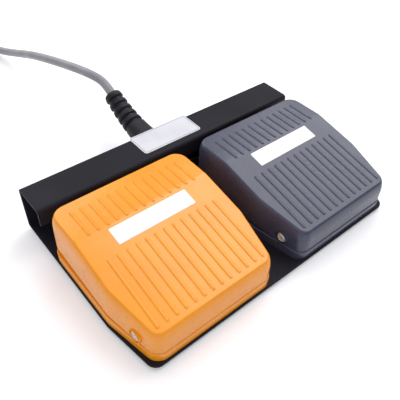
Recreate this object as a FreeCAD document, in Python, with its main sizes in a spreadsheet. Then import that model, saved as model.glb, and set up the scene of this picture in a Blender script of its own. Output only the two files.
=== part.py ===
import FreeCAD, Part
import math
import os
import Sketcher

from FreeCAD import Placement, Rotation, Vector

# Twin foot switch: two ribbed pedals side by side on one folded steel bracket, whose rear edge
# is a channel that shields the toes of the pedals and holds the wiring.
# Millimetres. X runs to the right, Y to the rear, Z up. The origin is on the floor, under the
# middle of the bracket. Each pedal is hinged at its heel, which is at the front.

doc = FreeCAD.newDocument("FootSwitch")

# Driving dimensions
SIZES = [
    # folded steel bracket
    ("plate_width", 200.0),
    ("plate_depth", 125.6),
    ("sheet_thickness", 1.5),
    ("channel_height", 31.5),
    ("channel_depth", 24.2),
    ("lip_height", 12.0),
    ("bend_radius", 2.2),
    ("plate_kink", 35.0),
    ("plate_inset", 5.0),
    ("plate_corner", 6.0),
    # rubber feet
    ("foot_height", 2.0),
    ("foot_diameter", 12.0),
    ("foot_inset_x", 13.0),
    ("foot_inset_y", 12.0),
    # outline of a pedal, seen from above
    ("pedal_gap", 11.1),
    ("side_margin", 1.45),
    ("heel_margin", 1.75),
    ("toe_gap", 5.15),
    ("pedal_kink", 34.2),
    ("heel_inset", 6.5),
    ("toe_corner", 10.0),
    ("heel_corner", 7.5),
    ("kink_corner", 14.0),
    ("draft", 1.2),
    # side profile of a pedal
    ("toe_top", 37.7),
    ("crease", 65.6),
    ("crease_radius", 12.0),
    ("slope_angle", 11.6),
    ("wall", 2.3),
    ("ceiling", 2.5),
    ("edge_radius", 5.0),
    ("press_angle", 4.5),
    ("skirt_gap", 0.4),
    # anti-slip ribs on a pedal
    ("rib_count", 13.0),
    ("rib_margin", 11.34),
    ("rib_width", 1.8),
    ("rib_height", 0.5),
    ("rib_root", 0.6),
    ("toe_rib_start", 64.8),
    ("toe_rib_inset", 9.1),
    ("heel_rib_start", 5.22),
    ("heel_rib_length", 44.4),
    # lower housing of a pedal
    ("housing_inset", -0.5),
    ("rim_height", 6.0),
    ("floor", 2.0),
    ("tongue_gap", 0.8),
    ("tongue_wall", 1.8),
    ("tongue_cover", 3.5),
    ("tongue_start", 9.0),
    # hinge at the heel
    ("hinge_distance", 14.5),
    ("hinge_height", 14.0),
    ("axle_diameter", 4.0),
    ("axle_clearance", 0.06),
    ("head_diameter", 6.6),
    ("head_thickness", 1.5),
    ("head_dome", 0.9),
    ("recess_diameter", 7.8),
    ("recess_inset", 5.9),
    ("boss_diameter", 8.2),
    ("boss_length", 4.8),
    ("ear_thickness", 3.0),
    ("ear_width", 9.0),
    ("side_play", 0.3),
    ("cap_grip", 1.0),
    # return spring
    ("spring_share", 0.417),
    ("spring_height", 23.5),
    ("spring_diameter", 10.0),
    ("spring_wire", 1.1),
    ("spring_turns", 8.0),
    ("spring_play", 0.05),
    ("floor_peg", 7.0),
    ("seat_peg", 5.6),
    ("peg_height", 5.0),
    ("seat_diameter", 12.0),
    # micro switch
    ("switch_length", 27.8),
    ("switch_width", 10.3),
    ("switch_height", 15.9),
    ("switch_distance", 44.1),
    ("switch_seat", 0.1),
    ("pivot_distance", 33.1),
    ("pivot_height", 1.0),
    ("barrel_diameter", 1.2),
    ("lug_thickness", 1.5),
    ("lug_height", 2.3),
    ("lug_depth", 3.0),
    ("lever_length", 23.0),
    ("lever_width", 4.0),
    ("lever_thickness", 0.5),
    ("lever_angle", 9.0),
    ("plunger_arm", 8.0),
    ("plunger_diameter", 3.0),
    ("plunger_depth", 5.0),
    ("plunger_travel", 1.2),
    ("actuator_arm", 21.0),
    ("actuator_width", 6.0),
    ("actuator_thickness", 2.0),
    ("running_gap", 0.25),
    ("screw_hole_low", 2.8),
    ("screw_hole_rise", 10.3),
    ("switch_screw", 2.9),
    ("switch_screw_head", 5.4),
    ("switch_screw_spacing", 22.2),
    ("bracket_thickness", 2.4),
    ("terminal_width", 4.8),
    ("terminal_thickness", 0.8),
    ("terminal_length", 7.0),
    ("terminal_low", 2.4),
    ("terminal_pitch", 5.2),
    # screws that hold a housing to the plate
    ("screw_diameter", 3.0),
    ("screw_head", 5.5),
    ("screw_head_height", 1.5),
    ("screw_length", 9.0),
    ("screw_fit", 0.05),
    ("screw_boss", 7.5),
    ("boss_height", 6.5),
    ("toe_screw_inset", 10.5),
    ("toe_screw_y", 73.4),
    ("heel_screw_inset", 24.5),
    ("heel_screw_y", 25.4),
    # strain relief boot
    ("boot_x", -3.9),
    ("boot_z", 19.5),
    ("boot_length", 54.5),
    ("boot_bend", 31.0),
    ("boot_flare", 24.0),
    ("boot_root", 17.6),
    ("boot_tip", 12.6),
    ("boot_grooves", 5.0),
    ("groove_depth", 1.2),
    ("groove_width", 3.2),
    ("groove_pitch", 6.0),
    ("first_groove", 24.0),
    ("boot_neck", 14.0),
    ("boot_flange", 18.0),
    ("flange_thickness", 2.0),
    ("seat_gap", 0.05),
    # cable and leads
    ("cable_diameter", 6.4),
    ("inner_stub", 5.0),
    ("lead_diameter", 2.8),
    ("lead_offset", 20.0),
    ("lead_height", 3.5),
    ("wire_diameter", 1.2),
    ("grommet_wall", 0.6),
    ("grommet_flange", 5.0),
    ("coil_radius", 47.0),
    ("coil_pitch", 7.0),
    ("coil_inward_turns", 3.0),
    ("coil_outward_turns", 2.75),
    ("core_count", 5.0),
    ("core_diameter", 1.7),
    ("core_length", 24.0),
    # labels, bare
    ("label_width", 51.0),
    ("label_depth", 11.0),
    ("label_thickness", 0.3),
    ("label_offset", 8.2),
    ("channel_label_width", 45.6),
    ("channel_label_depth", 19.4),
    ("channel_label_shift", 0.7),
    ("channel_label_overhang", 0.7),
]

sheet = doc.addObject("Spreadsheet::Sheet", "Sizes")
for row, (alias, value) in enumerate(SIZES, start=1):
    sheet.set(f"A{row}", alias)
    sheet.set(f"B{row}", str(value))
    sheet.setAlias(f"B{row}", alias)
doc.recompute()


def size(alias):
    """The value that the sheet holds under an alias."""
    return float(getattr(sheet, alias))


# Heights and places that several pieces share, written once as expressions of the sheet
S = "Sizes."
PLATE_FRONT = f"(-{S}plate_depth / 2)"
PLATE_REAR = f"({S}plate_depth / 2)"
PLATE_TOP = f"({S}foot_height + {S}sheet_thickness)"
CHANNEL_TOP = f"({S}foot_height + {S}channel_height)"
PEDAL_FRONT = f"({PLATE_FRONT} + {S}heel_margin)"
PEDAL_REAR = f"({PLATE_REAR} - {S}channel_depth - {S}toe_gap)"
PEDAL_WIDTH = f"(({S}plate_width - {S}pedal_gap) / 2 - {S}side_margin)"
PEDAL_SPACING = f"({PEDAL_WIDTH} + {S}pedal_gap)"
RIB_PITCH = f"(({PEDAL_WIDTH} - 2 * {S}rib_margin) / ({S}rib_count - 1))"
RECESS_FLOOR = f"({PEDAL_WIDTH} / 2 - {S}recess_inset)"
BOSS_END = f"({RECESS_FLOOR} - {S}boss_length)"
EAR_X = f"({BOSS_END} - {S}side_play - {S}ear_thickness / 2)"
KINK_Y = f"({PEDAL_FRONT} + {S}pedal_kink)"
CREASE_Y = f"({PEDAL_FRONT} + {S}crease)"
HINGE_Y = f"({PEDAL_FRONT} + {S}hinge_distance)"
FLOOR_TOP = f"({PLATE_TOP} + {S}floor)"
RIM_TOP = f"({PLATE_TOP} + {S}rim_height)"
SKIRT_LOW = f"({RIM_TOP} + {S}skirt_gap)"
TONGUE_INSET = f"({S}wall + {S}tongue_gap)"
HOLLOW_INSET = f"({TONGUE_INSET} + {S}tongue_wall)"
TOE_RISE = f"(({PEDAL_REAR} - {HINGE_Y}) * tan({S}press_angle))"
TONGUE_TOP = f"({SKIRT_LOW} + {TOE_RISE} + {S}tongue_cover)"
SWITCH_Y = f"({PEDAL_FRONT} + {S}switch_distance)"
SWITCH_TAIL = f"({SWITCH_Y} + {S}switch_length / 2 + {S}terminal_length)"
SPRING_ROOM = f"({PEDAL_REAR} - {HOLLOW_INSET} - {SWITCH_TAIL})"
SPRING_Y = f"({SWITCH_TAIL} + {S}spring_share * {SPRING_ROOM})"
SEAT_Z = f"({FLOOR_TOP} + {S}spring_height)"
SWITCH_LOW = f"({FLOOR_TOP} + {S}switch_seat)"
SWITCH_TOP = f"({SWITCH_LOW} + {S}switch_height)"
PIVOT_Y = f"({PEDAL_FRONT} + {S}pivot_distance)"
PIVOT_Z = f"({SWITCH_TOP} + {S}pivot_height)"
ACTUATOR_Y = f"({PIVOT_Y} + {S}actuator_arm)"
SCREW_HOLE = f"({S}switch_screw / 2 + {S}screw_fit)"
LEAD_Z = f"({PLATE_TOP} + {S}lead_height)"
GROMMET = f"({S}lead_diameter / 2 + {S}grommet_wall)"

# The same places as numbers, for the pieces that are swept or placed in code
plate_rear = size("plate_depth") / 2
pedal_front = -plate_rear + size("heel_margin")
pedal_rear = plate_rear - size("channel_depth") - size("toe_gap")
pedal_width = (size("plate_width") - size("pedal_gap")) / 2 - size("side_margin")
pedal_spacing = pedal_width + size("pedal_gap")
rib_pitch = (pedal_width - 2 * size("rib_margin")) / (size("rib_count") - 1)
plate_top = size("foot_height") + size("sheet_thickness")
channel_top = size("foot_height") + size("channel_height")
floor_top = plate_top + size("floor")
rim_top = plate_top + size("rim_height")
skirt_low = rim_top + size("skirt_gap")
crease_y = pedal_front + size("crease")
kink_y = pedal_front + size("pedal_kink")
hinge_y = pedal_front + size("hinge_distance")
hollow_inset = size("wall") + size("tongue_gap") + size("tongue_wall")
switch_low = floor_top + size("switch_seat")
switch_top = switch_low + size("switch_height")
switch_rear = pedal_front + size("switch_distance") + size("switch_length") / 2
switch_tail = switch_rear + size("terminal_length")
spring_room = pedal_rear - hollow_inset - switch_tail
spring_y = switch_tail + size("spring_share") * spring_room
pivot_y = pedal_front + size("pivot_distance")
pivot_z = switch_top + size("pivot_height")
lead_z = plate_top + size("lead_height")
slope = math.radians(size("slope_angle"))
CENTRES = {"orange": f"(-{PEDAL_SPACING} / 2)", "grey": f"({PEDAL_SPACING} / 2)"}
CENTRE_X = {"orange": -pedal_spacing / 2, "grey": pedal_spacing / 2}

pieces = []


def keep(piece, name, across=None):
    """Name a finished piece, shift it across to its pedal and list it for writing out."""
    piece.Label = name
    if across is not None:
        piece.setExpression("Placement.Base.x", across)
    pieces.append(piece)
    return piece


# Sketches, pads and pockets
def new_sketch(body, name, role, lift=None, tilt=None, shift=None):
    """A sketch on one of the body's own planes, lifted along its normal or tilted about X."""
    sketch = body.newObject("Sketcher::SketchObject", name)
    plane = next(item for item in body.Origin.OriginFeatures if item.Role == role)
    sketch.AttachmentSupport = [(plane, "")]
    sketch.MapMode = "FlatFace"
    if tilt is not None:
        sketch.AttachmentOffset = Placement(Vector(), Rotation(Vector(1, 0, 0), 1))
        sketch.setExpression("AttachmentOffset.Rotation.Angle", tilt)
    if lift is not None:
        sketch.setExpression("AttachmentOffset.Base.z", lift)
    if shift is not None:
        sketch.setExpression("AttachmentOffset.Base.y", shift)
    return sketch


def bind(sketch, *constraint):
    """Add a constraint that has a size, and bind that size to the last argument."""
    index = sketch.addConstraint(Sketcher.Constraint(*constraint[:-1]))
    sketch.setExpression(f"Constraints[{index}]", constraint[-1])


def draw_polygon(sketch, corners):
    """A closed outline whose corners are bound to pairs of expressions."""
    count = len(corners)
    base = sketch.GeometryCount
    turn = 2 * math.pi / count
    ring = [Vector(math.cos(turn * i), math.sin(turn * i), 0) * pedal_width / 2
            for i in range(count)]
    for i in range(count):
        sketch.addGeometry(Part.LineSegment(ring[i], ring[(i + 1) % count]), False)
    for i in range(count):
        joint = ("Coincident", base + i, 2, base + (i + 1) % count, 1)
        sketch.addConstraint(Sketcher.Constraint(*joint))
    for i, (across, along) in enumerate(corners):
        bind(sketch, "DistanceX", -1, 1, base + i, 1, 1.0, across)
        bind(sketch, "DistanceY", -1, 1, base + i, 1, 1.0, along)


def draw_circle(sketch, across, along, radius):
    """A circle whose centre and radius are bound to expressions."""
    index = sketch.addGeometry(Part.Circle(Vector(5, 5, 0), Vector(0, 0, 1), 2), False)
    bind(sketch, "DistanceX", -1, 1, index, 3, 5.0, across)
    bind(sketch, "DistanceY", -1, 1, index, 3, 5.0, along)
    bind(sketch, "Radius", index, 2.0, radius)


def draw_slot(sketch, across, start, end, width, drawn):
    """A slot along Y with rounded ends, drawn near its place and then bound to expressions."""
    x, low_y, top_y, radius = drawn
    up = Vector(0, 0, 1)
    round_top = Part.Circle(Vector(x, top_y, 0), up, radius)
    round_low = Part.Circle(Vector(x, low_y, 0), up, radius)
    right = Part.LineSegment(Vector(x + radius, low_y, 0), Vector(x + radius, top_y, 0))
    left = Part.LineSegment(Vector(x - radius, top_y, 0), Vector(x - radius, low_y, 0))
    right = sketch.addGeometry(right, False)
    top = sketch.addGeometry(Part.ArcOfCircle(round_top, 0, math.pi), False)
    left = sketch.addGeometry(left, False)
    low = sketch.addGeometry(Part.ArcOfCircle(round_low, math.pi, 2 * math.pi), False)
    for joint in ((right, 2, top, 1), (top, 2, left, 1), (left, 2, low, 1), (low, 2, right, 1)):
        sketch.addConstraint(Sketcher.Constraint("Tangent", *joint))
    for arc, along in ((top, end), (low, start)):
        bind(sketch, "DistanceX", -1, 1, arc, 3, 1.0, across)
        bind(sketch, "DistanceY", -1, 1, arc, 3, 1.0, along)
        bind(sketch, "Radius", arc, 1.0, f"({width}) / 2")


def pad(body, name, sketch, length, midplane=False):
    feature = body.newObject("PartDesign::Pad", name)
    feature.Profile = sketch
    feature.Length = 10
    feature.setExpression("Length", length)
    if midplane:
        feature.SideType = "Symmetric"
    body.Tip = feature
    return feature


def draft(body, name, angle):
    """Lean every upright face of a block inward, from its underside up."""
    doc.recompute()
    block = body.Tip
    sides = []
    for i, face in enumerate(block.Shape.Faces, start=1):
        normal = face.normalAt(0, 0)
        if abs(normal.z) < 0.5:
            sides.append(f"Face{i}")
        elif normal.z < 0:
            underside = f"Face{i}"
    feature = body.newObject("PartDesign::Draft", name)
    feature.Base = (block, sides)
    feature.NeutralPlane = (block, [underside])
    feature.setExpression("Angle", angle)
    body.Tip = feature
    return feature


def pocket(body, name, sketch, reverse=False, midplane=False):
    """Cut a sketch right through the body; the volume has to drop."""
    doc.recompute()
    before = body.Tip.Shape.Volume
    feature = body.newObject("PartDesign::Pocket", name)
    feature.Profile = sketch
    feature.Type = "ThroughAll"
    feature.Reversed = reverse
    if midplane:
        feature.SideType = "Symmetric"
    body.Tip = feature
    doc.recompute()
    if feature.Shape.Volume > before - 1e-3:
        raise RuntimeError(f"{name} cuts nothing")
    return feature


def repeat(body, name, feature, sketch, count, pitch):
    """Copy a feature along the sketch's own horizontal axis."""
    pattern = body.newObject("PartDesign::LinearPattern", name)
    pattern.Originals = [feature]
    pattern.Direction = (sketch, ["H_Axis"])
    pattern.Mode = "Spacing"
    pattern.setExpression("Offset", pitch)
    pattern.setExpression("Occurrences", count)
    body.Tip = pattern
    return pattern


def fillet(body, name, radius, wanted):
    """Round the edges of the body's tip that the test picks."""
    doc.recompute()
    tip = body.Tip
    names = [f"Edge{i}" for i, edge in enumerate(tip.Shape.Edges, start=1) if wanted(edge)]
    if not names:
        raise RuntimeError(f"{name} finds no edge")
    feature = body.newObject("PartDesign::Fillet", name)
    feature.Base = (tip, names)
    feature.setExpression("Radius", radius)
    body.Tip = feature
    doc.recompute()
    return feature


def middle(edge):
    return edge.valueAt((edge.FirstParameter + edge.LastParameter) / 2)


def direction(edge):
    ends = [vertex.Point for vertex in edge.Vertexes]
    line = ends[-1] - ends[0]
    return line.normalize() if line.Length > 1e-6 else Vector(0, 0, 0)


def upright(edge):
    return abs(direction(edge).z) > 0.95


# Primitives with their sizes and their base point bound to expressions
ALONG_X = Rotation(Vector(0, 1, 0), 90)
ALONG_Y = Rotation(Vector(1, 0, 0), -90)


def bound(kind, name, sizes, place, turn=None):
    solid = doc.addObject(kind, name)
    if turn is not None:
        solid.Placement = Placement(Vector(), turn)
    for key, text in sizes.items():
        solid.setExpression(key, text)
    for axis, text in zip("xyz", place):
        solid.setExpression(f"Placement.Base.{axis}", text)
    return solid


def box(name, width, depth, height, x, y, z, turn=None):
    """A box from its low corner."""
    sizes = {"Length": width, "Width": depth, "Height": height}
    return bound("Part::Box", name, sizes, (x, y, z), turn)


def centred_box(name, width, depth, height, x, y, z):
    """A box whose middle is at x and y, and whose underside is at z."""
    low_x = f"({x}) - ({width}) / 2"
    low_y = f"({y}) - ({depth}) / 2"
    return box(name, width, depth, height, low_x, low_y, z)


def cylinder(name, radius, height, x, y, z, turn=None):
    return bound("Part::Cylinder", name, {"Radius": radius, "Height": height}, (x, y, z), turn)


def fuse(name, parts):
    joined = doc.addObject("Part::MultiFuse", name)
    joined.Shapes = parts
    joined.Refine = True
    return joined


def common(name, parts):
    shared = doc.addObject("Part::MultiCommon", name)
    shared.Shapes = parts
    return shared


def cut(name, base, tool):
    piece = doc.addObject("Part::Cut", name)
    piece.Base = base
    piece.Tool = tool
    piece.Refine = True
    return piece


def group(name, parts):
    several = doc.addObject("Part::Compound", name)
    several.Links = parts
    return several


def swept(name, shape, across=None):
    """A piece whose shape is swept or lofted in code."""
    feature = doc.addObject("Part::Feature", name)
    feature.Shape = shape
    return keep(feature, name, across)


# Base plate: one sheet folded up, forward and down
def make_base_plate():
    body = doc.addObject("PartDesign::Body", "PlateBody")
    profile = new_sketch(body, "PlateProfile", "YZ_Plane")
    low = f"{S}foot_height"
    thick = f"{S}sheet_thickness"
    lip = f"({PLATE_REAR} - {S}channel_depth)"
    lip_low = f"({CHANNEL_TOP} - {S}lip_height)"
    draw_polygon(profile, [
        (PLATE_FRONT, low),
        (PLATE_REAR, low),
        (PLATE_REAR, CHANNEL_TOP),
        (lip, CHANNEL_TOP),
        (lip, lip_low),
        (f"{lip} + {thick}", lip_low),
        (f"{lip} + {thick}", f"{CHANNEL_TOP} - {thick}"),
        (f"{PLATE_REAR} - {thick}", f"{CHANNEL_TOP} - {thick}"),
        (f"{PLATE_REAR} - {thick}", PLATE_TOP),
        (PLATE_FRONT, PLATE_TOP),
    ])
    pad(body, "PlateSheet", profile, f"{S}plate_width", midplane=True)
    lip_y = plate_rear - size("channel_depth")
    sheet_low = size("foot_height")

    def at_fold(edge, inset):
        spot = middle(edge)
        folds = (
            (plate_rear - inset, sheet_low + inset),
            (plate_rear - inset, channel_top - inset),
            (lip_y + inset, channel_top - inset),
        )
        near = any(abs(spot.y - y) < 0.01 and abs(spot.z - z) < 0.01 for y, z in folds)
        return near and abs(direction(edge).x) > 0.99

    fillet(body, "OuterBends", f"{S}bend_radius", lambda edge: at_fold(edge, 0))
    inner = f"{S}bend_radius - {thick}"
    fillet(body, "InnerBends", inner, lambda edge: at_fold(edge, size("sheet_thickness")))

    corners = new_sketch(body, "FrontCorners", "XY_Plane", lift=f"-{S}plate_width")
    half = f"{S}plate_width / 2"
    kink = f"{PLATE_FRONT} + {S}plate_kink"
    beyond = f"{PLATE_FRONT} - {S}plate_corner"
    for side in ("-1", "1"):
        draw_polygon(corners, [
            (f"{side} * ({half})", kink),
            (f"{side} * ({half} - {S}plate_inset)", PLATE_FRONT),
            (f"{side} * ({half} - {S}plate_inset)", beyond),
            (f"{side} * ({half} + {S}plate_corner)", beyond),
            (f"{side} * ({half} + {S}plate_corner)", kink),
        ])
    pocket(body, "FrontTaper", corners, reverse=True)

    holes = new_sketch(body, "PlateHoles", "XY_Plane", lift=f"-{S}plate_width")
    for centre in ("-1", "1"):
        for place in ("toe", "heel"):
            for side in ("-1", "1"):
                across = (f"{centre} * {PEDAL_SPACING} / 2"
                          f" + {side} * ({PEDAL_WIDTH} / 2 - {S}{place}_screw_inset)")
                along = f"{PEDAL_FRONT} + {S}{place}_screw_y"
                draw_circle(holes, across, along, f"{S}screw_diameter / 2 + 3 * {S}screw_fit")
    pocket(body, "ScrewHoles", holes, reverse=True)
    fillet(body, "FrontRounds", f"{S}plate_corner", lambda edge: (
        upright(edge) and middle(edge).y < -plate_rear + 0.01))

    depth = f"4 * {thick}"
    start = f"{PLATE_REAR} - 2 * {thick}"
    neck = f"{S}boot_neck / 2 + {S}seat_gap"
    hole = cylinder("BootHole", neck, depth, f"{S}boot_x", start, f"{S}boot_z", ALONG_Y)
    return keep(cut("BasePlate", body, hole), "base_plate")


# Rubber feet under the four corners
def make_feet():
    for end, along in (("front", "-1"), ("rear", "1")):
        for side, across in (("left", "-1"), ("right", "1")):
            x = f"{across} * ({S}plate_width / 2 - {S}foot_inset_x)"
            y = f"{along} * ({S}plate_depth / 2 - {S}foot_inset_y)"
            name = f"foot_{end}_{side}"
            foot = cylinder(name, f"{S}foot_diameter / 2", f"{S}foot_height", x, y, "0")
            keep(foot, name)


# The outline that pedal and housing share, drawn in from the pedal's own by an inset
def outline(inset):
    lean = f"({S}heel_inset / {S}pedal_kink)"
    half_lean = f"((sqrt(1 + {lean} * {lean}) - 1) / {lean})"
    half = f"({PEDAL_WIDTH} / 2 - {inset})"
    front = f"({PEDAL_FRONT} + {inset})"
    rear = f"({PEDAL_REAR} - {inset})"
    kink = f"({KINK_Y} + ({inset}) * {half_lean})"
    heel = f"({half} - ({kink} - {front}) * {lean})"
    return [
        (f"-{half}", rear), (f"-{half}", kink), (f"-{heel}", front),
        (heel, front), (half, kink), (half, rear),
    ]


def outline_body(name, inset, low, height, lean=None):
    """A block of the shared outline, with its upright corners rounded."""
    body = doc.addObject("PartDesign::Body", name)
    sketch = new_sketch(body, f"{name}Outline", "XY_Plane", lift=low)
    draw_polygon(sketch, outline(inset))
    pad(body, f"{name}Block", sketch, height)
    if lean is not None:
        draft(body, f"{name}Draft", lean)
    middle_y = (kink_y + pedal_rear) / 2
    near = size("pedal_kink") / 2
    fillet(body, f"{name}Toe", f"{S}toe_corner - {inset}", lambda edge: (
        upright(edge) and middle(edge).y > middle_y))
    fillet(body, f"{name}Kink", f"{S}kink_corner - {inset}", lambda edge: (
        upright(edge) and abs(middle(edge).y - kink_y) < near))
    fillet(body, f"{name}Heel", f"{S}heel_corner - {inset}", lambda edge: (
        upright(edge) and middle(edge).y < kink_y - near))
    return body


def slope_height(y, drop=0.0):
    """Height of the pedal's top at y, less a drop."""
    return size("toe_top") - drop - max(0.0, crease_y - y) * math.tan(slope)


def shape_top(body, name, top, drop):
    """Cut the slope from the crease down to the heel, and round the crease."""
    sketch = new_sketch(body, f"{name}Slope", "YZ_Plane")
    reach = f"({S}crease + {S}edge_radius)"
    draw_polygon(sketch, [
        (CREASE_Y, top),
        (f"{CREASE_Y} - {reach}", f"{top} - {reach} * tan({S}slope_angle)"),
        (f"{CREASE_Y} - {reach}", f"{top} + {S}edge_radius"),
        (CREASE_Y, f"{top} + {S}edge_radius"),
    ])
    pocket(body, f"{name}SlopeCut", sketch, midplane=True)
    fillet(body, f"{name}Crease", f"{S}crease_radius", lambda edge: (
        abs(direction(edge).x) > 0.99 and abs(middle(edge).y - crease_y) < 0.01))

    def on_rim(edge):
        spot = middle(edge)
        sideways = abs(direction(edge).x) > 0.99
        if sideways and pedal_front + 15 < spot.y < pedal_rear - 15:
            return False
        return abs(spot.z - slope_height(spot.y, drop)) < 0.35

    return on_rim


# Pedal: a ribbed shell that the foot presses down at the toe
def make_pedal(colour):
    name = colour.title()
    top = f"{S}toe_top"
    body = outline_body(f"{name}Shell", "0", SKIRT_LOW, f"{top} - {SKIRT_LOW}", f"{S}draft")
    on_rim = shape_top(body, f"{name}Shell", top, 0.0)
    fillet(body, f"{name}TopEdge", f"{S}edge_radius", on_rim)

    wedge = new_sketch(body, f"{name}Wedge", "YZ_Plane")
    below = f"({SKIRT_LOW} - 5)"
    draw_polygon(wedge, [
        (HINGE_Y, SKIRT_LOW),
        (HINGE_Y, below),
        (f"{PEDAL_REAR} + 5", below),
        (f"{PEDAL_REAR} + 5", f"{SKIRT_LOW} + ({PEDAL_REAR} + 5 - {HINGE_Y}) * tan({S}press_angle)"),
    ])
    pocket(body, f"{name}WedgeCut", wedge, midplane=True)

    first = f"-{RIB_PITCH} * ({S}rib_count - 1) / 2"
    first_x = -rib_pitch * (size("rib_count") - 1) / 2
    radius = size("rib_width") / 2
    depth = f"{S}rib_height + {S}rib_root"
    toe = new_sketch(body, f"{name}ToeRib", "XY_Plane", lift=f"{top} - {S}rib_root")
    start = f"{PEDAL_FRONT} + {S}toe_rib_start + {S}rib_width / 2"
    end = f"{PEDAL_REAR} - {S}toe_rib_inset - {S}rib_width / 2"
    drawn = (first_x, pedal_front + size("toe_rib_start") + radius,
             pedal_rear - size("toe_rib_inset") - radius, radius)
    draw_slot(toe, first, start, end, f"{S}rib_width", drawn)
    rib = pad(body, f"{name}ToeRibPad", toe, depth)
    repeat(body, f"{name}ToeRibs", rib, toe, f"{S}rib_count", RIB_PITCH)
    lift = f"{top} - {S}rib_root / cos({S}slope_angle)"
    heel = new_sketch(body, f"{name}HeelRib", "XY_Plane", tilt=f"{S}slope_angle",
                      lift=lift, shift=CREASE_Y)
    along = f"{S}crease / cos({S}slope_angle)"
    start = f"-({along}) + {S}heel_rib_start + {S}rib_width / 2"
    end = f"-({along}) + {S}heel_rib_start + {S}heel_rib_length - {S}rib_width / 2"
    low = -size("crease") / math.cos(slope) + size("heel_rib_start")
    drawn = (first_x, low + radius, low + size("heel_rib_length") - radius, radius)
    draw_slot(heel, first, start, end, f"{S}rib_width", drawn)
    rib = pad(body, f"{name}HeelRibPad", heel, depth)
    repeat(body, f"{name}HeelRibs", rib, heel, f"{S}rib_count", RIB_PITCH)

    hollow_top = f"({top} - {S}ceiling)"
    hollow_low = f"({SKIRT_LOW} - 5)"
    hollow = outline_body(f"{name}Hollow", f"{S}wall", SKIRT_LOW, f"{hollow_top} - {SKIRT_LOW}",
                          f"{S}draft")
    rim = shape_top(hollow, f"{name}Hollow", hollow_top, size("ceiling"))
    fillet(hollow, f"{name}HollowEdge", f"{S}edge_radius - {S}wall", rim)
    shell = cut(f"{name}ShellCut", body, hollow)

    bosses = []
    for side, x in (("Left", f"-{RECESS_FLOOR}"), ("Right", BOSS_END)):
        bosses.append(cylinder(f"{name}{side}Boss", f"{S}boss_diameter / 2", f"{S}boss_length",
                               x, HINGE_Y, f"{S}hinge_height", ALONG_X))
    seat_top = f"{top} - {S}ceiling / 2"
    bosses.append(cylinder(f"{name}Seat", f"{S}seat_diameter / 2", f"{seat_top} - {SEAT_Z}",
                           "0", SPRING_Y, SEAT_Z))
    bosses.append(cylinder(f"{name}SeatPeg", f"{S}seat_peg / 2", f"{S}peg_height",
                           "0", SPRING_Y, f"{SEAT_Z} - {S}peg_height"))
    lever_top = (f"({PIVOT_Z} + ({S}actuator_arm + {S}actuator_thickness / 2) * tan({S}lever_angle)"
                 f" + {S}lever_thickness / 2 / cos({S}lever_angle) + {S}running_gap)")
    roof = f"({top} - ({CREASE_Y} - {ACTUATOR_Y}) * tan({S}slope_angle) - {S}ceiling / 2)"
    bosses.append(centred_box(f"{name}Actuator", f"{S}actuator_width", f"{S}actuator_thickness",
                              f"{roof} - {lever_top}", "0", ACTUATOR_Y, lever_top))
    whole = fuse(f"{name}Whole", [shell] + bosses)

    bores = [
        cylinder(f"{name}Bore", f"{S}axle_diameter / 2 + {S}axle_clearance", PEDAL_WIDTH,
                 f"-{PEDAL_WIDTH} / 2", HINGE_Y, f"{S}hinge_height", ALONG_X),
        cylinder(f"{name}LeftRecess", f"{S}recess_diameter / 2", f"{S}recess_inset",
                 f"-{PEDAL_WIDTH} / 2", HINGE_Y, f"{S}hinge_height", ALONG_X),
        cylinder(f"{name}RightRecess", f"{S}recess_diameter / 2", f"{S}recess_inset",
                 RECESS_FLOOR, HINGE_Y, f"{S}hinge_height", ALONG_X),
    ]
    piece = cut(f"{name}Pedal", whole, fuse(f"{name}Bores", bores))
    return keep(piece, f"{colour}_pedal", CENTRES[colour])


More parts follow.
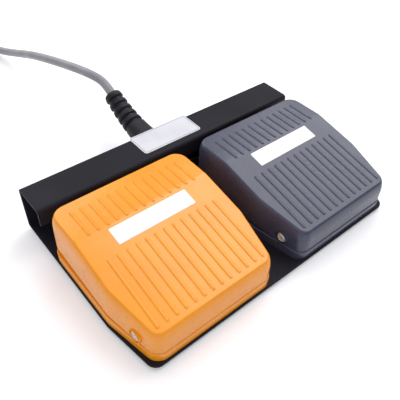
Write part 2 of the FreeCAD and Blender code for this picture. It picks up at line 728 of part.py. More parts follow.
# Lower housing: a tray with an upstand that fills the wedge under the skirt
def make_housing(colour):
    name = colour.title()
    tray = outline_body(f"{name}Tray", f"{S}housing_inset", PLATE_TOP, f"{S}rim_height")
    tongue = outline_body(f"{name}Tongue", TONGUE_INSET, PLATE_TOP, f"{TONGUE_TOP} - {PLATE_TOP}")
    start = f"({HINGE_Y} + {S}tongue_start)"
    width = PEDAL_WIDTH
    front = box(f"{name}TongueFront", width, f"{start} - {PLATE_FRONT}", TONGUE_TOP,
                f"-{width} / 2", PLATE_FRONT, RIM_TOP)
    hollow = outline_body(f"{name}TrayHollow", HOLLOW_INSET, FLOOR_TOP, TONGUE_TOP)
    block = fuse(f"{name}Block", [tray, cut(f"{name}TongueCut", tongue, front)])
    shell = cut(f"{name}TrayShell", block, hollow)

    solids = [shell]
    for side, sign in (("Left", "-1"), ("Right", "1")):
        centre = f"{sign} * {EAR_X}"
        solids.append(centred_box(f"{name}{side}Ear", f"{S}ear_thickness", f"{S}ear_width",
                                  f"{S}hinge_height - {PLATE_TOP}", centre, HINGE_Y, PLATE_TOP))
        solids.append(cylinder(f"{name}{side}EarTop", f"{S}ear_width / 2", f"{S}ear_thickness",
                               f"{centre} - {S}ear_thickness / 2", HINGE_Y,
                               f"{S}hinge_height", ALONG_X))
    solids.append(cylinder(f"{name}FloorPeg", f"{S}floor_peg / 2",
                           f"{S}floor / 2 + {S}peg_height", "0", SPRING_Y,
                           f"{FLOOR_TOP} - {S}floor / 2"))
    wall_x = f"-{S}switch_width / 2 - {S}switch_seat - {S}bracket_thickness / 2"
    solids.append(centred_box(f"{name}Bracket", f"{S}bracket_thickness", f"{S}switch_length",
                              f"{S}floor / 2 + {S}switch_height", wall_x, SWITCH_Y,
                              f"{FLOOR_TOP} - {S}floor / 2"))
    holes = [cylinder(f"{name}EarBore", f"{S}axle_diameter / 2 + {S}axle_clearance", width,
                      f"-{width} / 2", HINGE_Y, f"{S}hinge_height", ALONG_X)]
    for place in ("toe", "heel"):
        for side, sign in (("Left", "-1"), ("Right", "1")):
            x = f"{sign} * ({PEDAL_WIDTH} / 2 - {S}{place}_screw_inset)"
            y = f"{PEDAL_FRONT} + {S}{place}_screw_y"
            label = f"{name}{place.title()}{side}"
            solids.append(cylinder(f"{label}Boss", f"{S}screw_boss / 2",
                                   f"{S}floor / 2 + {S}boss_height", x, y,
                                   f"{FLOOR_TOP} - {S}floor / 2"))
            holes.append(cylinder(f"{label}Hole", f"{S}screw_diameter / 2 + {S}screw_fit",
                                  f"{S}screw_length - {S}sheet_thickness + 4 * {S}screw_fit",
                                  x, y, PLATE_TOP))
    for end, sign, rise in (("Front", "-1", f"{S}screw_hole_rise"), ("Rear", "1", "0")):
        y = f"{SWITCH_Y} + {sign} * {S}switch_screw_spacing / 2"
        z = f"{SWITCH_LOW} + {S}screw_hole_low + {rise}"
        holes.append(cylinder(f"{name}{end}BracketHole", SCREW_HOLE, f"{S}bracket_thickness * 3",
                              f"{wall_x} - {S}bracket_thickness * 1.5", y, z, ALONG_X))
    side = "1" if colour == "orange" else "-1"
    holes.append(cylinder(f"{name}LeadHole", f"{GROMMET} + {S}screw_fit", f"4 * {HOLLOW_INSET}",
                          f"{side} * {S}lead_offset", f"{PEDAL_REAR} - 2 * {HOLLOW_INSET}",
                          LEAD_Z, ALONG_Y))
    piece = cut(f"{name}Housing", fuse(f"{name}Solid", solids), fuse(f"{name}Holes", holes))
    return keep(piece, f"{colour}_housing", CENTRES[colour])


# Hinge pin with a domed head on the left, and a push-on cap on the right
def dome(name, x_flat, outward):
    """A round head with a domed face, from x_flat outward."""
    radius = f"{S}head_diameter / 2"
    ball = f"(({radius}) * ({radius}) + {S}head_dome * {S}head_dome) / (2 * {S}head_dome)"
    start = x_flat if outward == "1" else f"({x_flat}) - {S}head_thickness"
    disc = cylinder(f"{name}Disc", radius, f"{S}head_thickness", start, HINGE_Y,
                    f"{S}hinge_height", ALONG_X)
    centre = f"({x_flat}) + {outward} * ({S}head_thickness - ({ball}))"
    sphere = bound("Part::Sphere", f"{name}Sphere", {"Radius": ball},
                   (centre, HINGE_Y, f"{S}hinge_height"))
    return common(f"{name}Dome", [disc, sphere])


def make_axle(colour):
    name = colour.title()
    shank = cylinder(f"{name}Shank", f"{S}axle_diameter / 2",
                     f"2 * {RECESS_FLOOR} + {S}cap_grip", f"-{RECESS_FLOOR}", HINGE_Y,
                     f"{S}hinge_height", ALONG_X)
    head = dome(f"{name}Head", f"-{RECESS_FLOOR}", "-1")
    keep(fuse(f"{name}Axle", [shank, head]), f"{colour}_axle", CENTRES[colour])
    cap = dome(f"{name}Cap", RECESS_FLOOR, "1")
    bore = cylinder(f"{name}CapBore", f"{S}axle_diameter / 2 + {S}axle_clearance",
                    f"2 * ({S}cap_grip + {S}seat_gap)",
                    f"{RECESS_FLOOR} - {S}cap_grip - {S}seat_gap",
                    HINGE_Y, f"{S}hinge_height", ALONG_X)
    keep(cut(f"{name}AxleCap", cap, bore), f"{colour}_axle_cap", CENTRES[colour])


# Micro switch: case, plunger, lever, terminals and its two screws
def make_switch(colour):
    name = colour.title()
    case = centred_box(f"{name}Case", f"{S}switch_width", f"{S}switch_length",
                       f"{S}switch_height", "0", SWITCH_Y, SWITCH_LOW)
    lug_x = f"{S}lever_width / 2 + {S}side_play"
    lugs = []
    for side, x in (("Left", f"-({lug_x}) - {S}lug_thickness"), ("Right", lug_x)):
        lugs.append(box(f"{name}{side}Lug", f"{S}lug_thickness", f"{S}lug_depth",
                        f"{S}lug_height + {S}switch_seat", x, f"{PIVOT_Y} - {S}lug_depth / 2",
                        f"{SWITCH_TOP} - {S}switch_seat"))
    span = f"2 * ({lug_x} + {S}lug_thickness)"
    holes = [
        cylinder(f"{name}PivotBore", f"{S}barrel_diameter / 2 + {S}axle_clearance", span,
                 f"-({span}) / 2", PIVOT_Y, PIVOT_Z, ALONG_X),
        cylinder(f"{name}PlungerBore", f"{S}plunger_diameter / 2 + {S}axle_clearance",
                 f"{S}plunger_depth + {S}plunger_travel + 1", "0", f"{PIVOT_Y} + {S}plunger_arm",
                 f"{SWITCH_TOP} - {S}plunger_depth - {S}plunger_travel"),
    ]
    screws = []
    for end, sign, rise in (("Front", "-1", f"{S}screw_hole_rise"), ("Rear", "1", "0")):
        y = f"{SWITCH_Y} + {sign} * {S}switch_screw_spacing / 2"
        z = f"{SWITCH_LOW} + {S}screw_hole_low + {rise}"
        holes.append(cylinder(f"{name}{end}CaseHole", SCREW_HOLE, f"{S}switch_width + 2",
                              f"-{S}switch_width / 2 - 1", y, z, ALONG_X))
        reach = f"{S}switch_width + {S}switch_seat + {S}bracket_thickness"
        shank = cylinder(f"{name}{end}Shank", f"{S}switch_screw / 2", f"{reach} + 1",
                         f"{S}switch_width / 2 - ({reach})", y, z, ALONG_X)
        head = cylinder(f"{name}{end}Head", f"{S}switch_screw_head / 2", "1.6",
                        f"{S}switch_width / 2", y, z, ALONG_X)
        screws.append(fuse(f"{name}{end}Screw", [shank, head]))
    body = cut(f"{name}CaseCut", fuse(f"{name}CaseSolid", [case] + lugs),
               fuse(f"{name}CaseHoles", holes))
    keep(body, f"{colour}_switch_case", CENTRES[colour])
    keep(group(f"{name}SwitchScrews", screws), f"{colour}_switch_screws", CENTRES[colour])

    tip = (f"({PIVOT_Z} + {S}plunger_arm * tan({S}lever_angle)"
           f" - {S}lever_thickness / 2 / cos({S}lever_angle) - {S}running_gap)")
    foot = f"({SWITCH_TOP} - {S}plunger_depth)"
    plunger = cylinder(f"{name}Plunger", f"{S}plunger_diameter / 2", f"{tip} - {foot}", "0",
                       f"{PIVOT_Y} + {S}plunger_arm", foot)
    keep(plunger, f"{colour}_switch_plunger", CENTRES[colour])

    rest = f"{PEDAL_FRONT} + {S}switch_distance + {S}switch_length / 2"
    tabs = []
    for i in range(3):
        z = f"{SWITCH_LOW} + {S}terminal_low + {i} * {S}terminal_pitch"
        tabs.append(box(f"{name}Tab{i}", f"{S}terminal_width", f"{S}terminal_length",
                        f"{S}terminal_thickness", f"-{S}terminal_width / 2", rest,
                        f"{z} - {S}terminal_thickness / 2"))
    keep(group(f"{name}Tabs", tabs), f"{colour}_switch_terminals", CENTRES[colour])

    pin = f"{S}lever_width + 2 * ({S}side_play + {S}lug_thickness)"
    barrel = bound("Part::Cylinder", f"{name}Barrel",
                   {"Radius": f"{S}barrel_diameter / 2", "Height": pin},
                   (f"-({pin}) / 2", "0", "0"), ALONG_X)
    blade = centred_box(f"{name}Blade", f"{S}lever_width", f"{S}lever_length",
                        f"{S}lever_thickness", "0", f"{S}lever_length / 2",
                        f"-{S}lever_thickness / 2")
    lever = fuse(f"{name}Lever", [barrel, blade])
    lever.Placement = Placement(Vector(), Rotation(Vector(1, 0, 0), 1))
    lever.setExpression("Placement.Rotation.Angle", f"{S}lever_angle")
    lever.setExpression("Placement.Base.y", PIVOT_Y)
    lever.setExpression("Placement.Base.z", PIVOT_Z)
    keep(lever, f"{colour}_switch_lever", CENTRES[colour])


# Screws that hold a housing down, in through the plate from below
def make_housing_screws(colour):
    name = colour.title()
    screws = []
    low = f"{S}foot_height - {S}screw_head_height"
    for place in ("toe", "heel"):
        for side, sign in (("Left", "-1"), ("Right", "1")):
            x = f"{sign} * ({PEDAL_WIDTH} / 2 - {S}{place}_screw_inset)"
            y = f"{PEDAL_FRONT} + {S}{place}_screw_y"
            label = f"{name}{place.title()}{side}"
            head = cylinder(f"{label}ScrewHead", f"{S}screw_head / 2", f"{S}screw_head_height",
                            x, y, low)
            shank = cylinder(f"{label}ScrewShank", f"{S}screw_diameter / 2",
                             f"{S}screw_length + {S}screw_head_height / 2", x, y,
                             f"{S}foot_height - {S}screw_head_height / 2")
            screws.append(fuse(f"{label}Screw", [head, shank]))
    keep(group(f"{name}HousingScrews", screws), f"{colour}_housing_screws", CENTRES[colour])


# Labels, bare plates that lie on the slope and on the channel
def make_labels():
    for colour in CENTRES:
        drop = f"{S}label_offset * tan({S}slope_angle)"
        turn = Rotation(Vector(1, 0, 0), 11.6)
        half = f"{S}label_depth / 2"
        label = box(f"{colour.title()}Label", f"{S}label_width", f"{S}label_depth",
                    f"{S}label_thickness", f"{CENTRES[colour]} - {S}label_width / 2",
                    f"{CREASE_Y} - {S}label_offset - ({half}) * cos({S}slope_angle)",
                    f"{S}toe_top - {drop} - ({half}) * sin({S}slope_angle)", turn)
        label.setExpression("Placement.Rotation.Angle", f"{S}slope_angle")
        keep(label, f"{colour}_label")
    width = f"{S}channel_label_width"
    depth = f"{S}channel_label_depth"
    label = centred_box("ChannelLabel", width, depth, f"{S}label_thickness",
                        f"-{S}channel_label_shift", f"{PLATE_REAR} + {S}channel_label_overhang - ({depth}) / 2",
                        CHANNEL_TOP)
    keep(label, "channel_label")


# Tubes: straight runs joined by tangent arcs, or biarcs for wound ones
def disc_wire(centre, normal, diameter):
    return Part.Wire(Part.Circle(centre, normal, diameter / 2).toShape())


def sweep(edges, start, heading, diameter):
    """One unbroken tube along joined edges."""
    path = Part.Wire(edges)
    shell = Part.BRepOffsetAPI.MakePipeShell(path)
    shell.add(disc_wire(start, heading, diameter), False, False)
    shell.build()
    shell.makeSolid()
    return shell.shape()


def run_path(points, share=0.45):
    """Edges through the points, each corner an arc as large as its runs allow."""
    edges = []
    radii = []
    last = points[0]
    for before, corner, after in zip(points, points[1:], points[2:]):
        back = (before - corner).normalize()
        on = (after - corner).normalize()
        half_turn = (math.pi - back.getAngle(on)) / 2
        cut_back = share * min((before - corner).Length, (after - corner).Length)
        radius = cut_back / math.tan(half_turn)
        radii.append(radius)
        enter = corner + back * cut_back
        leave = corner + on * cut_back
        bisector = (back + on).normalize()
        depth = radius / math.cos(half_turn) - radius
        edges.append(Part.LineSegment(last, enter).toShape())
        edges.append(Part.Arc(enter, corner + bisector * depth, leave).toShape())
        last = leave
    edges.append(Part.LineSegment(last, points[-1]).toShape())
    return edges, radii


def tube(points, diameter):
    """A tube along the points, with its radii and its volume against section times length."""
    edges, radii = run_path(points)
    solid = sweep(edges, points[0], points[1] - points[0], diameter)
    length = sum(edge.Length for edge in edges)
    ideal = length * math.pi * diameter ** 2 / 4
    return solid, radii, length, solid.Volume / ideal


def biarc(start, heading, end, out_heading):
    """Two tangent arcs from one point and heading to another."""
    span = end - start
    both = heading + out_heading
    a = 2 * (heading.dot(out_heading) - 1)
    b = -2 * span.dot(both)
    c = span.dot(span)
    reach = (-b - math.sqrt(b * b - 4 * a * c)) / (2 * a)
    first = start + heading * reach
    second = end - out_heading * reach
    join = (first + second) * 0.5
    arcs = []
    for begin, corner, finish in ((start, first, join), (join, second, end)):
        chord = (begin + finish) * 0.5
        height = (corner - chord).Length
        half = (finish - begin).Length / 2
        sagitta = half * math.tan(math.atan2(height, half) / 2)
        through = chord + (corner - chord).normalize() * sagitta
        arcs.append(Part.Arc(begin, through, finish).toShape())
    return arcs


def wound_path(samples):
    """Biarcs through samples of (point, heading)."""
    edges = []
    for (start, heading), (end, out_heading) in zip(samples, samples[1:]):
        edges.extend(biarc(start, heading, end, out_heading))
    return edges


def least_gap(edges, diameter, spacing):
    """The least gap between parts of a wound tube that lie over a diameter apart along it."""
    points = []
    for edge in edges:
        points.extend(edge.discretize(max(3, int(edge.Length / spacing) + 2))[:-1])
    apart = int(4 * diameter / spacing)
    least = 1e9
    for i, here in enumerate(points):
        for there in points[i + apart:]:
            gap = abs(here.x - there.x)
            if gap > 2 * diameter:
                continue
            least = min(least, here.distanceToPoint(there))
    return least - diameter


# Return spring: a helix under the toe, ends against the housing floor and the pedal's seat
def make_spring(colour):
    wire = size("spring_wire")
    radius = (size("spring_diameter") - wire) / 2
    low = floor_top + size("spring_play") + wire / 2
    rise = size("spring_height") - 2 * size("spring_play") - wire
    turns = size("spring_turns")
    quarters = int(round(4 * turns))
    samples = []
    for i in range(quarters + 1):
        angle = 2 * math.pi * turns * i / quarters
        here = Vector(radius * math.cos(angle), spring_y + radius * math.sin(angle),
                      low + rise * i / quarters)
        climb = rise / (2 * math.pi * turns)
        heading = Vector(-radius * math.sin(angle), radius * math.cos(angle), climb).normalize()
        samples.append((here, heading))
    edges = wound_path(samples)
    solid = sweep(edges, samples[0][0], samples[0][1], wire)
    gap = rise / turns - wire
    print(f"{colour}_spring gap between turns {gap:.2f}")
    return swept(f"{colour}_spring", solid, CENTRES[colour])


# Strain relief boot: moulded rubber, held by the back wall and bent upward
def boot_frame(along):
    """Placement of a ring of the boot at a distance along its bent axis."""
    total = math.radians(size("boot_bend"))
    turn = total * along / size("boot_length")
    radius = size("boot_length") / total
    spot = Vector(size("boot_x"),
                  plate_rear + size("seat_gap") + radius * math.sin(turn),
                  size("boot_z") + radius * (1 - math.cos(turn)))
    return Placement(spot, Rotation(Vector(1, 0, 0), math.degrees(turn) - 90))


def make_boot():
    length = size("boot_length")
    root = size("boot_root") / 2
    tip = size("boot_tip") / 2
    rings = [(0.0, size("boot_flare") / 2), (2.0, root + 1.9), (5.0, root + 0.5)]

    def radius_at(along):
        return root + (tip - root) * along / length

    half = size("groove_width") / 2
    for i in range(int(round(size("boot_grooves")))):
        centre = size("first_groove") + i * size("groove_pitch")
        inner = radius_at(centre) - size("groove_depth")
        rings.append((centre - half, radius_at(centre - half)))
        rings.append((centre - half * 0.45, inner))
        rings.append((centre + half * 0.45, inner))
        rings.append((centre + half, radius_at(centre + half)))
    rings.append((length - 3.0, radius_at(length - 3.0)))
    rings.append((length - 1.2, tip - 0.6))
    rings.append((length, tip - 1.8))
    wires = []
    for along, radius in rings:
        ring = Part.Circle(Vector(), Vector(0, 0, 1), radius).toShape()
        ring.Placement = boot_frame(along)
        wires.append(Part.Wire(ring))
    outside = Part.makeLoft(wires, True, True)
    inner_face = plate_rear - size("sheet_thickness") - size("seat_gap")
    start = inner_face - size("flange_thickness")
    spot = Vector(size("boot_x"), start, size("boot_z"))
    toward = Vector(0, 1, 0)
    neck = Part.makeCylinder(size("boot_neck") / 2, plate_rear + size("seat_gap") - start,
                             spot, toward)
    flange = Part.makeCylinder(size("boot_flange") / 2, size("flange_thickness"), spot, toward)
    solid = outside.fuse([neck, flange])
    return swept("strain_relief_boot", solid)


# Cable: the end inside the channel, the free stretch, the coil and the bare cores
def make_cable():
    diameter = size("cable_diameter")
    x, z = size("boot_x"), size("boot_z")
    inside = (plate_rear - size("sheet_thickness") - size("seat_gap") - size("flange_thickness"))
    stub_end = inside - size("inner_stub")
    stub = Part.makeCylinder(diameter / 2, size("inner_stub"), Vector(x, stub_end, z),
                             Vector(0, 1, 0))
    swept("cable_inner", stub)

    frame = boot_frame(size("boot_length"))
    tip = frame.Base
    out = frame.Rotation.multVec(Vector(0, 0, 1))
    route = [tip, tip + out * 7.0]
    route += [Vector(*point) for point in (
        (-5.5, 128.4, 40.4), (-10.8, 140.6, 42.4), (-14.8, 164.9, 38.4), (-18.3, 189.9, 33.0),
        (-19.6, 216.1, 24.9), (-20.9, 241.6, 15.3), (-24.5, 266.8, 7.3), (-31.9, 292.3, 3.6),
        (-44.5, 315.5, 3.4), (-61.8, 332.8, 3.4))]
    solid, radii, length, ratio = tube(route, diameter)
    print("cable radii", [round(radius) for radius in radii])
    print(f"cable length {length:.0f}, volume against section times length {ratio:.4f}")
    swept("cable", solid)

    start = route[-1]
    heading = Vector(route[-1] - route[-2]).normalize()
    heading.z = 0
    heading.normalize()
    first = size("coil_radius")
    pitch = size("coil_pitch")
    entry = start + heading * diameter
    side = Vector(-heading.y, heading.x, 0)
    centre = entry + side * first
    begin = math.atan2(entry.y - centre.y, entry.x - centre.x)
    inward = 2 * math.pi * size("coil_inward_turns")
    outward = 2 * math.pi * size("coil_outward_turns")
    inner = first - pitch * size("coil_inward_turns")
    rate = pitch / (2 * math.pi)

    def spiral(turned):
        if turned <= inward:
            return first - rate * turned, 0.0
        if turned <= inward + math.pi:
            s = turned - inward
            return inner - rate * (s - s * s / math.pi), pitch * (1 - math.cos(s)) / 2
        return inner + rate * (turned - inward - math.pi), pitch

    def spot(turned):
        radius, lift = spiral(turned)
        angle = begin + turned
        return Vector(centre.x + radius * math.cos(angle), centre.y + radius * math.sin(angle),
                      start.z + lift)

    total = inward + math.pi + outward
    steps = int(round(total / (math.pi / 2)))
    samples = [(entry, heading)]
    for i in range(1, steps + 1):
        turned = total * i / steps
        ahead = spot(turned + 1e-4) - spot(turned - 1e-4)
        samples.append((spot(turned), ahead.normalize()))
    edges = [Part.LineSegment(start, entry).toShape()] + wound_path(samples)
    last, leaving = samples[-1]
    end = last + leaving * diameter
    edges.append(Part.LineSegment(last, end).toShape())
    coil = sweep(edges, start, heading, diameter)
    wound = sum(edge.Length for edge in edges)
    ideal = wound * math.pi * diameter ** 2 / 4
    print(f"cable_coil length {wound:.0f}, volume ratio {coil.Volume / ideal:.4f},"
          f" least gap to itself {least_gap(edges, diameter, 3.0):.2f}")
    swept("cable_coil", coil)

    count = int(round(size("core_count")))
    thick = size("core_diameter")
    reach = size("core_length")
    sideways = Vector(-leaving.y, leaving.x, 0)
    cores = []
    for i in range(count):
        angle = 2 * math.pi * i / count + math.pi / 2
        across, up = math.cos(angle), math.sin(angle)
        near = end + (sideways * across + Vector(0, 0, 1) * up) * (diameter / 2 - thick / 2 - 0.6)
        spread = (sideways * across * 1.6 + Vector(0, 0, 1) * up * 0.5) * (1 + 0.2 * (i % 2))
        path = [near, near + leaving * reach * 0.3,
                near + leaving * reach * 0.65 + spread,
                near + leaving * reach * (0.95 + 0.03 * (i % 3)) + spread * 2.2]
        cores.append(tube(path, thick)[0])
    swept("cable_cores", Part.makeCompound(cores))


# Leads: from the end of the cable jacket along the channel into each housing
def make_leads(colour):
    side = -1 if colour == "orange" else 1
    diameter = size("lead_diameter")
    wall = plate_rear - size("sheet_thickness") - size("seat_gap")
    start_y = wall - size("flange_thickness") - size("inner_stub")
    start = Vector(size("boot_x") + side * 1.6, start_y, size("boot_z"))
    hole_x = CENTRE_X[colour] - side * size("lead_offset")
    end_y = switch_tail + 0.595 * spring_room
    along_y = pedal_rear + size("toe_gap") + size("sheet_thickness") + 5.5
    middle_x = (start.x + hole_x) / 2
    path = [
        start,
        Vector(start.x, start_y - 4.5, start.z),
        Vector(start.x + side * 4.5, start_y - 6.5, start.z - 7.0),
        Vector(middle_x, along_y + 0.4, lead_z + 0.4),
        Vector(hole_x - side * 2.0, along_y, lead_z),
        Vector(hole_x, pedal_rear + size("toe_gap") - 0.4, lead_z),
        Vector(hole_x, end_y, lead_z),
    ]
    solid, radii, length, ratio = tube(path, diameter)
    print(f"{colour}_lead radii", [round(radius, 1) for radius in radii], f"ratio {ratio:.4f}")
    swept(f"{colour}_lead", solid)

    thick = size("wire_diameter")
    centre = CENTRE_X[colour]
    wires = []
    for i, level in enumerate((0, 1)):
        tab_z = switch_low + size("terminal_low") + level * size("terminal_pitch")
        off = -side * (0.7 if i == 0 else -0.7)
        begin = Vector(hole_x + off, end_y, lead_z)
        mouth = Vector(centre - side * 1.4, switch_tail, tab_z)
        wires.append(tube([
            begin,
            begin - Vector(0, (0.145 + 0.062 * i) * spring_room, 0),
            Vector(hole_x + side * (4.0 + 2 * i), switch_tail + (0.269 - 0.041 * i) * spring_room,
                   (lead_z + tab_z) / 2),
            Vector(mouth.x - side * 6.5, switch_tail + 0.124 * spring_room, tab_z),
            mouth + Vector(0, 0.107 * spring_room, 0),
            mouth,
        ], thick)[0])
    swept(f"{colour}_wires", Part.makeCompound(wires))

    inner = f"{S}lead_diameter / 2 + {S}screw_fit"
    across = f"{-side} * {S}lead_offset"
    hollow = HOLLOW_INSET
    depth = f"({hollow} - {S}housing_inset + {S}screw_fit)"
    name = colour.title()
    outer_y = f"({PEDAL_REAR} - {S}housing_inset)"
    sleeve = cylinder(f"{name}Sleeve", GROMMET, f"{depth} + 0.4", across,
                      f"{outer_y} - {depth}", LEAD_Z, ALONG_Y)
    flange = cylinder(f"{name}SleeveFlange", f"{S}grommet_flange / 2", "0.8", across,
                      f"{outer_y} + {S}screw_fit", LEAD_Z, ALONG_Y)
    bore = cylinder(f"{name}SleeveBore", inner, f"{depth} * 3", across,
                    f"{outer_y} - {depth} * 2", LEAD_Z, ALONG_Y)
    piece = cut(f"{name}Grommet", fuse(f"{name}SleeveSolid", [sleeve, flange]), bore)
    keep(piece, f"{colour}_lead_grommet", CENTRES[colour])


make_base_plate()
make_feet()
for colour in CENTRES:
    make_pedal(colour)
    make_housing(colour)
    make_axle(colour)
    make_spring(colour)
    make_switch(colour)
    make_housing_screws(colour)
    make_leads(colour)
make_labels()
make_boot()
make_cable()

doc.recompute()

# Every object and every piece is checked before anything is written
for item in doc.Objects:
    if "Invalid" in item.State or "Error" in item.State:
        raise RuntimeError(f"{item.Name} ({item.Label}) failed: {item.State}")
for piece in pieces:
    shape = piece.Shape
    if shape.isNull() or not shape.isValid() or shape.Volume <= 0:
        raise RuntimeError(f"{piece.Label} has no valid shape")

os.makedirs("parts", exist_ok=True)
for piece in pieces:
    piece.Shape.exportStep(f"parts/{piece.Label}.step")
print(len(pieces), "pieces written")
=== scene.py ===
# %% [markdown]
# # A twin foot switch
# Two ribbed pedals, one orange and one grey, stand side by side on one folded black steel
# bracket. The rear of the bracket is folded into a channel that guards the toes of the pedals
# and holds the wiring, and a grey cable leaves it through a ribbed rubber boot.
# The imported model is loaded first, as a fixed frame in metres. Everything that is made here
# is drawn in millimetres, because a maker's drawing is, and shrunk to metres as it is finished.

import math

import bmesh
import bpy
from mathutils import Matrix, Vector


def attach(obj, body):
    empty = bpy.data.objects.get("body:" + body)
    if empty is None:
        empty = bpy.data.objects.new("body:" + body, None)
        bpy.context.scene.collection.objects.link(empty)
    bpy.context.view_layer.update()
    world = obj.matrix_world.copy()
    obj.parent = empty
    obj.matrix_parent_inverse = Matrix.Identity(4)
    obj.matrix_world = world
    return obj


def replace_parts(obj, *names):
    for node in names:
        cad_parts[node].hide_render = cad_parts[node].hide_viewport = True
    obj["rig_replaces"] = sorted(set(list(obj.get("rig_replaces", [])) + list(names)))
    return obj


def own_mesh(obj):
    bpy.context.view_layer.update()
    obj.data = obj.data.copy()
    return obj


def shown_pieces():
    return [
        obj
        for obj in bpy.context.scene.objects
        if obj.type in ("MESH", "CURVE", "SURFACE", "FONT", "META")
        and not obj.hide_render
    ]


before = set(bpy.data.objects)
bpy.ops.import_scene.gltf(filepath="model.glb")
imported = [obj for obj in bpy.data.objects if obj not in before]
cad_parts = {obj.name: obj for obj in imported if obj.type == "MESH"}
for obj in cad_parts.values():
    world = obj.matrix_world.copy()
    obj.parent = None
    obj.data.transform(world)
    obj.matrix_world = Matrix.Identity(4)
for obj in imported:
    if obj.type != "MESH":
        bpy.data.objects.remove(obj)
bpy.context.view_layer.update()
MM = 0.001

# %% [markdown]
# ## Camera
# A product photographer looks down on the switch from its front left corner, from close by, so
# the near pedal looks larger than the far one. The three directions below are the camera's own
# right, up and back, found by fitting the corners of the bracket to their places in the picture.
# A rotation matrix with those three columns turns the camera without any guessing at angles.

# %% Camera
camera_right = Vector((0.7677, -0.6391, 0.0471)).normalized()
camera_back = Vector((-0.4790, -0.5235, 0.7047)).normalized()
camera_up = camera_back.cross(camera_right).normalized()
camera_right = camera_up.cross(camera_back)
turn = Matrix((camera_right, camera_up, camera_back)).transposed().to_4x4()
camera_data = bpy.data.cameras.new("camera")
camera_data.sensor_width = 36.0
camera_data.lens = 43.27
camera_data.clip_start = 0.01
camera = bpy.data.objects.new("camera", camera_data)
camera.matrix_world = Matrix.Translation((-0.15481, -0.15255, 0.22838)) @ turn
bpy.context.scene.collection.objects.link(camera)
bpy.context.scene.camera = camera
print("camera", [round(value, 4) for value in camera.location])

# %% [markdown]
# ## Helpers for finishes
# Each finish is a small node tree. Colours are written as they are read off a screen, from 0 to
# 255, and turned into the linear values that a shader mixes. Every tree starts with one shader
# and with the coordinates of the piece itself, so that a pattern moves with its piece.

# %% Helpers for finishes
def screen(red, green, blue):
    """A colour read off a screen, as linear values."""
    linear = []
    for value in (red, green, blue):
        share = value / 255
        linear.append(share / 12.92 if share <= 0.04045 else ((share + 0.055) / 1.055) ** 2.4)
    return (*linear, 1.0)


def grey(value):
    """A grey in linear values."""
    return (value, value, value, 1.0)


def new_finish(name, roughness, metallic=0.0, mirror=0.5):
    """A material with one shader, and a texture coordinate that follows the piece."""
    finish = bpy.data.materials.new(name)
    finish.use_nodes = True
    nodes = finish.node_tree.nodes
    nodes.clear()
    output = nodes.new("ShaderNodeOutputMaterial")
    shader = nodes.new("ShaderNodeBsdfPrincipled")
    for socket, value in (("Roughness", roughness), ("Metallic", metallic), ("IOR", 1.5),
                          ("Specular IOR Level", mirror)):
        shader.inputs[socket].default_value = value
    finish.node_tree.links.new(shader.outputs["BSDF"], output.inputs["Surface"])
    return finish, shader, nodes.new("ShaderNodeTexCoord").outputs["Object"]


print("white on screen is", screen(255, 255, 255)[:3])

# %% [markdown]
# ## Noise in a finish
# Most real surfaces have a slow variation of colour and a fine unevenness, and many are duller in
# patches. The last helper gives a finish what it needs of these three, each from a noise of its
# own size.

# %% Noise in a finish
def noise_on(finish, where, scale, detail=3.0):
    """Cloudy noise whose patches are about one over scale metres wide."""
    tree = finish.node_tree
    noise = tree.nodes.new("ShaderNodeTexNoise")
    noise.inputs["Scale"].default_value = scale
    noise.inputs["Detail"].default_value = detail
    tree.links.new(where, noise.inputs["Vector"])
    return noise.outputs["Fac"]


def blend_on(finish, factor, low, high, target, start=0.35, stop=0.65):
    """Spread a factor between two colours, or two greys, into a socket of the shader."""
    tree = finish.node_tree
    ramp = tree.nodes.new("ShaderNodeValToRGB")
    for element, position, colour in zip(ramp.color_ramp.elements, (start, stop), (low, high)):
        element.position, element.color = position, colour
    tree.links.new(factor, ramp.inputs["Fac"])
    tree.links.new(ramp.outputs["Color"], target)


def uneven(finish, shader, factor, depth, strength):
    """Turn a factor into small dents that catch the light. The depth is in metres."""
    tree = finish.node_tree
    bump = tree.nodes.new("ShaderNodeBump")
    bump.inputs["Strength"].default_value = strength
    bump.inputs["Distance"].default_value = depth
    tree.links.new(factor, bump.inputs["Height"])
    tree.links.new(bump.outputs["Normal"], shader.inputs["Normal"])


def cloudy(name, low, high, clouds, roughness, metallic=0.0, mirror=0.5, dull=None, dents=None):
    """A finish whose colour drifts between two others.

    Clouds are the noise of that drift: its scale, and its detail if it isn't the usual one. Dull
    is a noise for the roughness, the two ends of it, and the span of the noise between them.
    Dents are a noise for the bump, with its depth and strength."""
    finish, shader, where = new_finish(name, roughness, metallic, mirror)
    blend_on(finish, noise_on(finish, where, *clouds), low, high, shader.inputs["Base Color"])
    if dull:
        scale, detail, smooth, rough, *span = dull
        blend_on(finish, noise_on(finish, where, scale, detail), grey(smooth), grey(rough),
                 shader.inputs["Roughness"], *span)
    if dents:
        scale, detail, depth, strength = dents
        uneven(finish, shader, noise_on(finish, where, scale, detail), depth, strength)
    return finish


print("noise helpers ready")

# %% [markdown]
# ## Cable and boot finishes
# The jacket of the cable is soft PVC in a plain mid grey. Extruding it leaves it very slightly
# uneven along its length, which a fine noise shows well enough. Rubber is darker and duller, and
# its mould leaves a fine grain.

